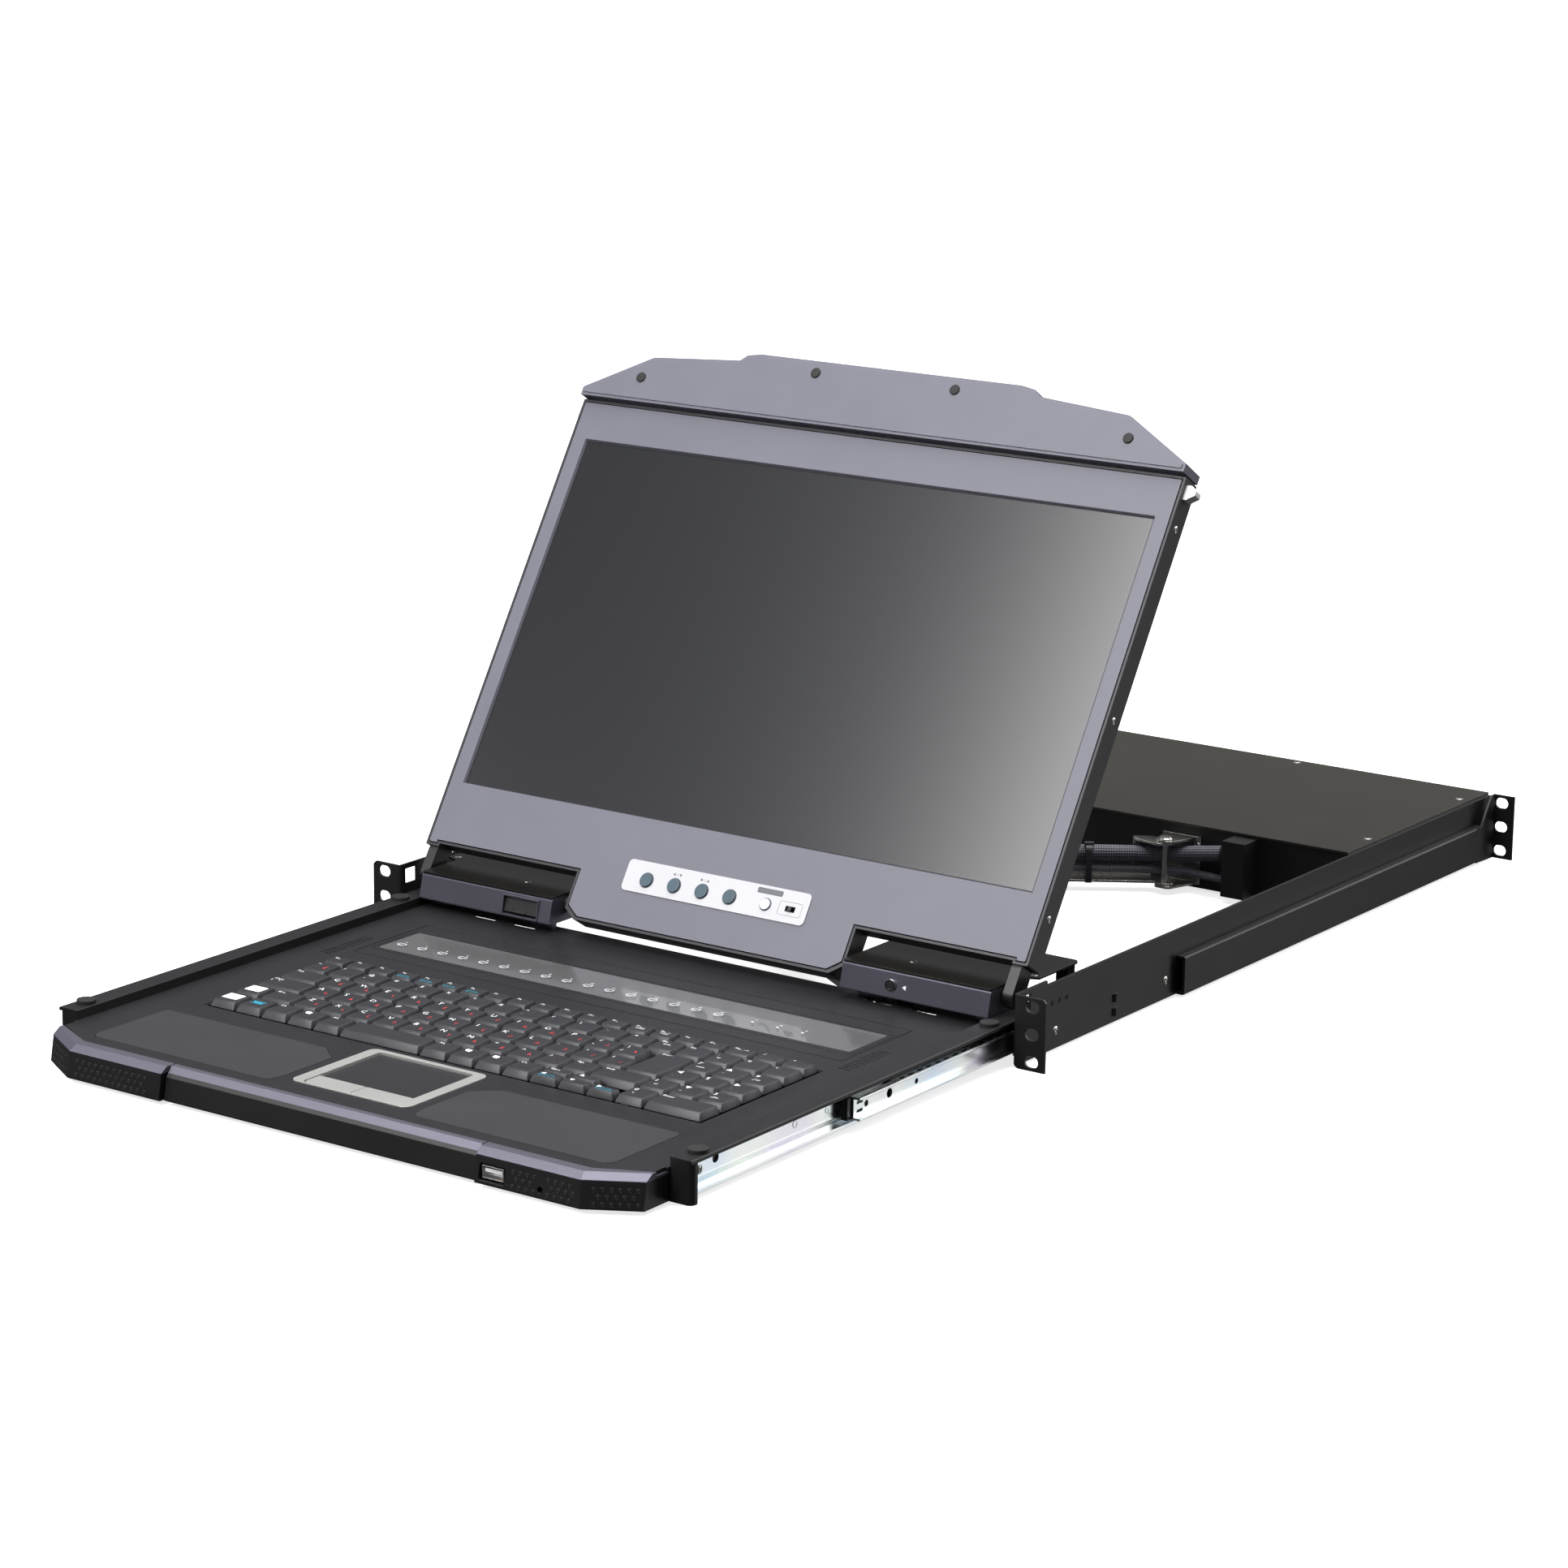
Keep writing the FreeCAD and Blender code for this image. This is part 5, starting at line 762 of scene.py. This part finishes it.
# ---- cables ------------------------------------------
def route(points):
    """Evenly followed line through a smooth NURBS route, in millimetres."""
    curve = bpy.data.curves.new("route", "CURVE")
    curve.dimensions = "3D"
    curve.resolution_u = 10
    spline = curve.splines.new("NURBS")
    spline.points.add(len(points) - 1)
    for knot, p in zip(spline.points, points):
        knot.co = (*p, 1.0)
    spline.order_u = 3
    spline.use_endpoint_u = True
    holder = bpy.data.objects.new("route", curve)
    mesh = bpy.data.meshes.new_from_object(holder)
    line = [v.co.copy() for v in mesh.vertices]
    bpy.data.objects.remove(holder)
    bpy.data.curves.remove(curve)
    bpy.data.meshes.remove(mesh)
    return line


def sleeve(name, points, radius, finish, body, sides=20):
    """Round cable along a route, with its UV map in turns and millimetres for the weave."""
    line = route(points)
    form = bmesh.new()
    uv = form.loops.layers.uv.new("UVMap")
    rows = []
    reach = 0.0
    side = None
    for k, p in enumerate(line):
        ahead = (line[min(k + 1, len(line) - 1)] - line[max(k - 1, 0)]).normalized()
        if side is None:
            side = ahead.cross(UP).normalized()
        else:
            side = (side - ahead * side.dot(ahead)).normalized()
        up = ahead.cross(side)
        if k:
            reach += (p - line[k - 1]).length
        ring = []
        for n in range(sides):
            a = 2 * pi * n / sides
            ring.append(form.verts.new(p + side * radius * cos(a) + up * radius * sin(a)))
        rows.append((ring, reach))
    for (lower, v0), (upper, v1) in zip(rows, rows[1:]):
        for n in range(sides):
            m = (n + 1) % sides
            face = form.faces.new((lower[n], lower[m], upper[m], upper[n]))
            for loop, (u, v) in zip(face.loops, ((n, v0), (n + 1, v0), (n + 1, v1), (n, v1))):
                loop[uv].uv = (u / sides, v)
    form.faces.new(rows[0][0][::-1])
    form.faces.new(rows[-1][0])
    return add(name, form, finish, body, smooth=60.0)


def arm_frame(start, end, outer):
    """Place of a link: x along it, y to its outer side."""
    along = (end - start).normalized()
    return Matrix.Translation(start) @ Matrix((along, outer, UP)).transposed().to_4x4()


WALL_DIR = (ELBOW - WALL_PIVOT).normalized()
TRAY_DIR = (TRAY_PIVOT - ELBOW).normalized()
WALL_SIDE = Vector((WALL_DIR.y, -WALL_DIR.x, 0))
TRAY_SIDE = Vector((WALL_SIDE.x, -WALL_SIDE.y, 0))
WALL_LINK = arm_frame(WALL_PIVOT, ELBOW, WALL_SIDE)
TRAY_LINK = arm_frame(ELBOW, TRAY_PIVOT, TRAY_SIDE)
LINKS = (("wall", WALL_LINK), ("tray", TRAY_LINK))

# offset is how far a cable lies from the line of the pivots, to the outside of the fold.
Cable = namedtuple("Cable", "kind radius z offset finish entry_z past_tray_pivot deck_z deck_end")
CABLES = (
    Cable("thick", 5.0, 1.6, 7.4, BRAID_THICK, GROMMET.z, 6.0, -1.0, Vector((112.0, 13.3, -9.3))),
    Cable("thin", 2.6, -8.4, 6.4, BRAID_THIN, -9.4, 10.0, -8.4, Vector((101.0, 14.0, -11.8))),
)
NEAR_END = 30.0           # the straight run on a link, from its first pivot
FAR_END = LINK_LENGTH - 28.0
ELBOW_LAP = 1.0           # how far the slack pieces reach along the runs
ENTRY_LAP = 1.7
DECK_LAP = 1.3

TIE_PLACES = (46.0, 140.0, 240.0)
TIE_WIDTH = 4.0
TIE_THICK = 1.0
TIE_SPAN = (-0.4, 15.0)
TIE_TOP = 7.7
TIE_FOOT = {"wall": -17.5, "tray": -15.7}
TIE_HEAD = [(-1.0, -1.6), (5.0, -1.6), (5.0, 2.4), (-1.0, 2.4)]


def elbow_route(cable):
    """Round the outside of the fold, from one link's run to the next."""
    start = WALL_LINK @ Vector((FAR_END - ELBOW_LAP, cable.offset, cable.z))
    tip = ELBOW + Vector((-cable.offset / abs(WALL_DIR.y), 0, cable.z))
    end = TRAY_LINK @ Vector((NEAR_END + ELBOW_LAP, cable.offset, cable.z))
    return [start, (start + tip) / 2, tip, (tip + end) / 2, end]


def entry_route(cable):
    """Out of the grommet and along the wall-side link."""
    start = WALL_LINK @ Vector((NEAR_END + ENTRY_LAP, cable.offset, cable.z))
    corner = start - WALL_DIR * ((GROMMET.y - start.y) / abs(WALL_DIR.y))
    entry = Vector((GROMMET.x, GROMMET.y, cable.entry_z))
    return [entry, (entry * 2 + corner) / 3, corner, start]


def deck_route(cable):
    """Off the tray-side link, past its pivot and down into the tray."""
    start = TRAY_LINK @ Vector((FAR_END - DECK_LAP, cable.offset, cable.z))
    corner_y = TRAY_PIVOT.y - cable.past_tray_pivot
    corner = start + TRAY_DIR * ((start.y - corner_y) / abs(WALL_DIR.y))
    corner.z = cable.deck_z
    return [start, (start + corner) / 2, corner, cable.deck_end]


def cables():
    """Both braided cables of the folding arm: a straight run on each link and slack at each pivot."""
    made = {}
    for cable in CABLES:
        kind, radius, finish = cable.kind, cable.radius, cable.finish
        for link, place in LINKS:
            stations = (NEAR_END, LINK_LENGTH / 2, FAR_END)
            run = [place @ Vector((x, cable.offset, cable.z)) for x in stations]
            made[link, kind] = sleeve("cable_%s_%s" % (link, kind), run, radius, finish, "arm_" + link)
        made["elbow", kind] = sleeve("cable_elbow_" + kind, elbow_route(cable), radius, finish, None)
        made["entry", kind] = sleeve("cable_entry_" + kind, entry_route(cable), radius, finish, None)
        made["deck", kind] = sleeve("cable_deck_" + kind, deck_route(cable), radius, finish, "arm_tray")
    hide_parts("arm_cables_wall")
    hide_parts("arm_cables_tray")
    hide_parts("cable_loop_elbow")
    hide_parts("cable_loop_wall")
    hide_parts("cable_loop_tray")
    for kind in ("thick", "thin"):
        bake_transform(made["entry", kind])
        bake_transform(made["elbow", kind])


def cable_ties():
    """Nylon bands round each link and its cables, with a square head on top."""
    for link, place in LINKS:
        bands = bmesh.new()
        y0, y1 = TIE_SPAN
        foot, t = TIE_FOOT[link], TIE_THICK
        outer = rounded(y0, y1, foot, TIE_TOP, 4.0, 5)
        bore = rounded(y0 + t, y1 - t, foot + t, TIE_TOP - t, 3.4, 5)
        for x in TIE_PLACES:
            rings = ((0, outer), (TIE_WIDTH, outer), (TIE_WIDTH, bore), (0, bore))
            loops = [[(along, y, z) for y, z in ring] for along, ring in rings]
            skin(bands, loops, place @ Matrix.Translation((x, 0, 0)), closed=True)
            head_place = place @ Matrix.Translation((x, TIE_WIDTH, 0))
            slab(bands, TIE_HEAD, TIE_TOP - 0.4, TIE_TOP + 1.2, head_place)
        add("cable_ties_" + link, bands, TIE, "arm_" + link)


# ---- front grip --------------------------------------
GRIP_FACE_TOP = Vector((0, GRIP_Y - 4.2, -4.5))
GRIP_FACE_FOOT = Vector((0, GRIP_Y - 6.6, -19.7))
GRIP_CORNER = Vector((174.4, GRIP_Y, 0))
GRIP_CORNER_TURN = radians(30.2)
DIMPLE_ROWS = (-9.3, -13.0, -16.8)
DIMPLE_PITCH = 4.53
DIMPLE_START = {-1: 120.0, 1: 132.8}
DIMPLE_STOP = 171.5
WING_DIMPLES = (GRIP_CORNER.x + 5.5, GRIP_CORNER.x + 29)   # start and stop past the corner
DIMPLE_RIM = [(1.3, -0.2), (1.3, 0.05), (1.15, 0.14), (0.95, 0.12), (0.85, 0.02)]
# dark disc inside each rim: painted shade of the dimple's hollow
DIMPLE_SHADE = [(0.98, -0.1), (0.98, 0.09), (0.5, 0.10)]
SMALL_HOLE = (150.7, -15.0)
HOLE_CLEAR = 6.0

PORT_TONGUE = (113.9, 125.1, GRIP_Y - 3.9, GRIP_Y)
PIN_X0 = 115.6
PIN_PITCH = 2.6


def grip_face(x, z):
    """Place on the grip's leaning front face, at x along it."""
    down = GRIP_FACE_FOOT - GRIP_FACE_TOP
    point = GRIP_FACE_TOP + down * ((GRIP_FACE_TOP.z - z) / -down.z)
    return facing((x, point.y, z), (0, down.z, -down.y))


def dimple_xs(start, stop, row):
    """Dimples of a row, with every other row shifted by half a pitch."""
    xs = []
    x = start + (row % 2) * DIMPLE_PITCH / 2
    while x < stop:
        xs.append(x)
        x += DIMPLE_PITCH
    return xs


def clear_of_hole(side, x, z):
    """Only the right side has a small hole among its dimples."""
    return side < 0 or abs(x - SMALL_HOLE[0]) + abs(z - SMALL_HOLE[1]) > HOLE_CLEAR


def grip_details():
    """Dimples along the front of the grip, each a rim round a dark disc of painted shade, and the tongue
    and contacts of its port.
    """
    rims = bmesh.new()
    dimple_shades = bmesh.new()
    bend = Matrix.Translation(GRIP_CORNER) @ Matrix.Rotation(GRIP_CORNER_TURN, 4, "Z")
    bend = bend @ Matrix.Translation(-GRIP_CORNER)
    for side in (-1, 1):
        flip = Matrix.Scale(side, 4, X_AXIS)
        places = []
        for row, z in enumerate(DIMPLE_ROWS):
            xs = dimple_xs(DIMPLE_START[side], DIMPLE_STOP, row)
            places += [flip @ grip_face(x, z) for x in xs if clear_of_hole(side, x, z)]
            places += [flip @ bend @ grip_face(x, z) for x in dimple_xs(*WING_DIMPLES, row)]
        for place in places:
            turned(rims, DIMPLE_RIM, place, 12)
            turned(dimple_shades, DIMPLE_SHADE, place, 12)
    add("grip_dimple_rims", rims, GRIP_PAINT_AND_SHEEN, "tray")
    add("grip_dimple_shades", dimple_shades, PAINTED_SHADE, "tray")

    tongue = bmesh.new()
    slab(tongue, inset(PORT_TONGUE, 0, 0.3), -13.1, -11.1)
    add("usb_tongue", tongue, CATCH_WHITE, "tray")
    pins = bmesh.new()
    for k in range(4):
        x = PIN_X0 + PIN_PITCH * k
        slab(pins, rounded(x - 0.6, x + 0.6, GRIP_Y - 3.6, GRIP_Y - 0.5, 0.2), -13.3, -13.05)
    add("usb_contacts", pins, GOLD, "tray")


# ---- deck, strip and hinge boxes ---------------------
STRIP_TOP = -0.2
STRIP_PRINT = (STRIP_TOP, STRIP_TOP + 0.03)
SURROUND = (-174, 174, -99, -29)
STRIP_EDGE = (-170.2, 172.0, -87.0, -43.0)
PORT_MARKS = 16
ICON_PITCH = 15.3
ICON_X0 = -157.0
ICON_Y = -73.5
LOCK_LAMPS = ("1", "A", "S")
LAMP_X0 = 96.0
LAMP_PITCH = 17.0
SIGN_SIZE = 2.6
SIGN_WIDE = 1.1

JACK_MARK_X = 147.4
JACK_X = 138.5
JACK_Z = 11.2
JACK_COLLAR = [(3.5, -0.2), (3.5, 0.25), (3.0, 0.4), (2.3, 0.3), (1.9, -0.2)]
JACK_BORE_SHADE = [(2.0, -0.2), (2.0, 0.22), (1.0, 0.24)]


def on_strip(x, y):
    """The strip is level, so its height is the same at every x and y."""
    return STRIP_TOP


def strip_details():
    """Raised lines round the strip, and its small monitor, lamp and number signs."""
    panel = bmesh.new()
    base = DECK_TOP - 0.3
    frame_slab(panel, inset(SURROUND, 0, 2.4), inset(SURROUND, 0.9, 1.6), base, DECK_TOP + 0.3)
    frame_slab(panel, inset(STRIP_EDGE, 0, 1.5), inset(STRIP_EDGE, 0.8, 0.9), base, DECK_TOP + 0.25)
    add("strip_surround", panel, DECK, "tray")

    marks = bmesh.new()
    for k in range(PORT_MARKS):
        x = ICON_X0 + ICON_PITCH * k
        screen = around(x, ICON_Y, 2.9, 1.6)
        frame_slab(marks, inset(screen, 0, 0.8), inset(screen, 0.5, 0.4), *STRIP_PRINT)
        slab(marks, rounded(x - 1.5, x + 1.5, ICON_Y - 2.9, ICON_Y - 2.4, 0.2), *STRIP_PRINT)
        stamp(marks, str(k + 1), x, ICON_Y + 3.2, SIGN_SIZE, on_strip, SIGN_WIDE, 0.5)
    for k, text in enumerate(LOCK_LAMPS):
        x = LAMP_X0 + LAMP_PITCH * k
        slab(marks, rounded(*around(x, ICON_Y, 1.0, 0.6), 0.5), *STRIP_PRINT)
        stamp(marks, text, x, ICON_Y + 3.0, SIGN_SIZE, on_strip, SIGN_WIDE, 0.5)
    add("strip_marks", marks, LETTER_WHITE, "tray")


def jack_details():
    """Triangle, collar and a dark disc of painted shade for the bore, on the front of the right hinge
    box.
    """
    y = HBOX_FRONT_TOP_Y - HBOX_LEAN * (HBOX_TOP - JACK_Z)
    mark = bmesh.new()
    front = facing((JACK_MARK_X, y, JACK_Z), (0, -1, HBOX_LEAN))
    slab(mark, [(1.3, -1.5), (1.3, 1.5), (-1.3, 0)], -0.1, 0.04, front)
    add("jack_mark", mark, LETTER_WHITE, "tray")
    place = facing((JACK_X, y - 0.75, JACK_Z), (0, -1, 0))
    collar = bmesh.new()
    turned(collar, JACK_COLLAR, place, 28)
    add("jack_collar", collar, BLACK_PLASTIC, "tray")
    # the bore is a dark disc: painted shade
    bore = bmesh.new()
    turned(bore, JACK_BORE_SHADE, place, 20)
    add("jack_bore_shade", bore, PAINTED_SHADE, "tray")


# ---- display -----------------------------------------
# s is the distance up the panel from the display's bottom edge; the chin hangs below it.
BUTTON_S = 4.8
PLATE_FACE = 0.6
PLATE_PRINT = (PLATE_FACE - 0.1, PLATE_FACE + 0.03)
MENU_X = (-49.4, -29.4, -9.4, 10.7)
MENU_R = 4.35
POWER_X = 36.4
POWER_R = 3.55
SWITCH_X = 53.7
ARROW_S = 11.6
ARROWS = ((-29.4, ("left", "down")), (-9.4, ("right", "up")))
ARROW_TURNS = {"up": 0, "left": pi / 2, "down": pi, "right": -pi / 2}
VISOR_FACE = 5.6
VISOR_PADS = ((50.0, 331.4), (175.0, 314.8))
PAD_PROFILE = [(3.3, -0.3), (3.3, 0.5), (2.8, 0.9), (1.2, 1.0)]
SIDE_SCREWS_S = (30.0, 150.0, 268.0)


def button_groove_shades():
    """Thin grey rings round the buttons, painted shade of the gap between each button and the plate."""
    groove_shades = bmesh.new()
    low, high = PLATE_FACE - 0.2, PLATE_FACE + 0.03
    turns = [2 * pi * k / 32 for k in range(32)]
    for x, r in [(x, MENU_R) for x in MENU_X] + [(POWER_X, POWER_R)]:
        wide, narrow = r + 0.55, r - 0.1
        loops = []
        for radius, off in ((wide, low), (wide, high), (narrow, high), (narrow, low)):
            loops.append([(x + radius * cos(a), BUTTON_S + radius * sin(a), off) for a in turns])
        skin(groove_shades, loops, closed=True)
    add("button_groove_shades", groove_shades, PRINT_AND_SHADE_GREY, "display", PANEL)


def plate_marks():
    """Arrows over two menu buttons, a line round the switch and a plain block over the power button."""
    marks = bmesh.new()
    for x, shapes in ARROWS:
        for at, shape in zip((x - 2.2, x + 2.2), shapes):
            turn = Matrix.Rotation(ARROW_TURNS[shape], 4, "Z")
            place = Matrix.Translation((at, ARROW_S, PLATE_FACE)) @ turn
            slab(marks, [(-1.0, -0.8), (1.0, -0.8), (0, 1.0)], -0.1, 0.03, place)
        slab(marks, rounded(*around(x, ARROW_S, 0.15, 0.8), 0.1), *PLATE_PRINT)
    switch = around(SWITCH_X, BUTTON_S, 8.0, 4.2)
    frame_slab(marks, inset(switch, 0, 1.2, 4), inset(switch, 0.2, 1.0, 4), *PLATE_PRINT)
    slab(marks, rounded(POWER_X - 8.3, POWER_X + 9.6, 11.0, 14.4, 0.7, 4), *PLATE_PRINT)
    add("plate_marks", marks, PRINT_AND_SHADE_GREY, "display", PANEL)


def display_details():
    """Rubber pads of the visor, the dark line round the screen, painted shade of the gap at the bezel's
    opening, and the side screws.
    """
    pads = bmesh.new()
    for x, s in VISOR_PADS:
        for side in (-1, 1):
            turned(pads, PAD_PROFILE, PANEL @ Matrix.Translation((side * x, s, VISOR_FACE)), 24)
    add("visor_pads", pads, RUBBER, "display")

    # dark line round the screen: painted shade of the gap between bezel and panel
    edge = bmesh.new()
    screen = (-SCREEN_HALF, SCREEN_HALF, SCREEN_S[0], SCREEN_S[1])
    frame_slab(edge, inset(screen, -0.2, 0.3), inset(screen, 0.5, 0.3), -2.0, -1.7)
    add("screen_edge_shade", edge, PAINTED_SHADE, "display", PANEL)

    screws = Screws()
    for side in (-1, 1):
        for s in SIDE_SCREWS_S:
            point = PANEL @ Vector((side * DISPLAY_HALF, s, -DISPLAY_THICK / 2))
            screws.put(point, (side, 0, 0), 2.4, 0.6)
    screws.done("display_screws", NICKEL, "display")


# ---- chassis, slides and rear ------------------------
WALL_SCREWS = ((42.5, -10.5), (163.4, -9.8))
WALL_HOLES_Y = (38.2, 45.9, 53.6)
WALL_HOLES_Z = 6.6
HOLE_SHADE_PROFILE = [(1.2, -0.1), (1.2, 0.03), (0.5, 0.04)]
BOX_SCREWS = ((80.7, 571.9), (212.8, 549.7), (213.8, 422.7))
LID_SCREWS = ((139.0, 22.0), (208.0, 40.7))


def chassis_details():
    """Screws of the chassis, dark discs of painted shade for its small holes, and the screws in the lids
    of the hinge boxes.
    """
    screws = Screws()
    holes = bmesh.new()
    for side in (-1, 1):
        outward = (side, 0, 0)
        for y, z in WALL_SCREWS:
            screws.put((side * HALF_OUT, y, z), outward, 3.0, 0.9)
        for y in WALL_HOLES_Y:
            # dark disc on the wall: painted shade of a hole
            turned(holes, HOLE_SHADE_PROFILE, facing((side * HALF_OUT, y, WALL_HOLES_Z), outward), 16)
        for x, y in BOX_SCREWS:
            screws.put((side * x, y, BOX_TOP), UP, 2.6, 0.5)
    screws.done("chassis_screws", NICKEL, "chassis")
    add("chassis_hole_shades", holes, PAINTED_SHADE, "chassis")

    lid_screws = Screws()
    for side in (-1, 1):
        for x, y in LID_SCREWS:
            lid_screws.put((side * x, y, HBOX_TOP), UP, 2.2, 0.4)
    lid_screws.done("hinge_lid_screws", NICKEL, "tray")


WEB_X = 207.0
BEAD_Y = (-283.0, 40.0)
BEAD_OUTLINE = [(-0.1, -13.6), (0.22, -13.1), (0.3, -12.5), (0.22, -11.9), (-0.1, -11.4)]
BOSSES = ((-190.0, -6.6, 2.2), (-161.0, -6.6, 1.6))
RIVET_Y = -274.0
RIVET_Z = -8.4
FLANGE_TOP = -2.1         # top of a middle member, under the balls of the outer cage
RETAINER = (213.6, 217.0, -110.0, 10.0)
WINDOW_X = (214.5, 216.1)
WINDOW_Y0 = -105.0
WINDOW_LENGTH = 5.2
WINDOW_PITCH = 8.7
WINDOWS = 13


def slide_details():
    """Bead, bosses and end screw of the inner members; strips on the middle ones, with dark patches of
    painted shade for their windows.
    """
    beads = bmesh.new()
    rivets = Screws()
    strips = bmesh.new()
    window_shades = bmesh.new()
    for side in (-1, 1):
        outward = (side, 0, 0)
        skin(beads, [[(side * (WEB_X + x), y, z) for x, z in BEAD_OUTLINE] for y in BEAD_Y])
        for y, z, r in BOSSES:
            boss = [(r, -0.1), (0.9 * r, 0.2), (0.5 * r, 0.3)]
            turned(beads, boss, facing((side * WEB_X, y, z), outward), 20)
        rivets.put((side * WEB_X, RIVET_Y, RIVET_Z), outward, 2.6, 0.7)
        flip = Matrix.Scale(side, 4, X_AXIS)
        slab(strips, rounded(*RETAINER, 0.8), FLANGE_TOP - 0.1, FLANGE_TOP + 0.12, flip)
        for k in range(WINDOWS):
            y = WINDOW_Y0 + WINDOW_PITCH * k
            # dark patch: painted shade of a window in the strip
            window_shade = rounded(*WINDOW_X, y, y + WINDOW_LENGTH, 0.7)
            slab(window_shades, window_shade, FLANGE_TOP, FLANGE_TOP + 0.15, flip)
    add("slide_beads", beads, ZINC, "tray")
    add("retainer_strips", strips, TIN, "slide_middle")
    add("retainer_window_shades", window_shades, PAINTED_SHADE, "slide_middle")
    rivets.done("slide_screws", NICKEL, "tray")


PORT_COLUMNS = 8
PORT_X0 = -196.0
PORT_PITCH = 34.0
PORT_ROW_Z = (-9.6, 9.2)
PORT_HALF = (9.1, 4.6)
PORT_FACE_Y = 582.0
POST_OFFSET = 12.5
CONTACT_ROWS = (-2.2, 0, 2.2)
CONTACT_PITCH = 2.4
ROW_LEAN = 0.25           # each row of contacts is shifted a little against the next
CONTACT = [(0.5, -0.1), (0.5, 0.03), (0.2, 0.04)]
POST = [(2.6, -0.2), (2.6, 3.6), (2.2, 4.2), (1.5, 4.2)]
POST_BORE_SHADE = [(1.45, 4.0), (1.45, 4.25), (0.5, 4.26)]
BRACKET_SCREWS = ((90.5, -12.0), (113.5, 7.0), (90.5, 7.0))
BRACKET_FACE_Y = 384.4
PIVOT_PLACE = (100.0, 368.0, 13.1)
PIVOT_HEAD = [(4.2, -0.2), (4.2, 0.5), (3.6, 1.1), (1.5, 1.4)]


def port_details():
    """Insert, contacts and two hexagonal posts of every rear port."""
    inserts = bmesh.new()
    contacts = bmesh.new()
    posts = bmesh.new()
    bore_shades = bmesh.new()
    w, h = PORT_HALF[0] - 1.0, PORT_HALF[1] - 1.0
    taper = 0.3 * h
    outline = [(w - taper, -h), (w, h), (-w, h), (taper - w, -h)]
    for x, z in [(PORT_X0 + PORT_PITCH * k, z) for k in range(PORT_COLUMNS) for z in PORT_ROW_Z]:
        place = facing((x, PORT_FACE_Y, z), (0, 1, 0))
        slab(inserts, outline, -0.2, 0.08, place)
        for row in CONTACT_ROWS:
            for n in range(-2, 3):
                along = n * CONTACT_PITCH + row * ROW_LEAN
                turned(contacts, CONTACT, place @ Matrix.Translation((along, row, 0.08)), 8)
        for side in (-1, 1):
            at = facing((x + side * POST_OFFSET, REAR_FACE_Y, z), (0, 1, 0))
            turned(posts, POST, at, 6)
            # dark disc on top of each post: painted shade of its threaded bore
            turned(bore_shades, POST_BORE_SHADE, at, 12)
    add("port_inserts", inserts, BLACK_PLASTIC, "chassis")
    add("port_contacts", contacts, GOLD, "chassis")
    add("port_posts", posts, NICKEL, "chassis", smooth=25.0)
    add("port_post_bore_shades", bore_shades, PAINTED_SHADE, "chassis")


def arm_details():
    """Screws of the arm's wall bracket and the head of its pivot."""
    fixings = Screws()
    for x, z in BRACKET_SCREWS:
        fixings.put((x, BRACKET_FACE_Y, z), (0, -1, 0), 2.4, 0.8)
    fixings.done("arm_bracket_screws", NICKEL, "chassis")
    pivots = bmesh.new()
    turned(pivots, PIVOT_HEAD, facing(PIVOT_PLACE, UP), 28)
    add("arm_wall_pivot", pivots, NICKEL, "chassis")


# ---- run ---------------------------------------------
studio()
keyboard()
cables()
cable_ties()
grip_details()
strip_details()
jack_details()
button_groove_shades()
plate_marks()
display_details()
chassis_details()
slide_details()
port_details()
arm_details()
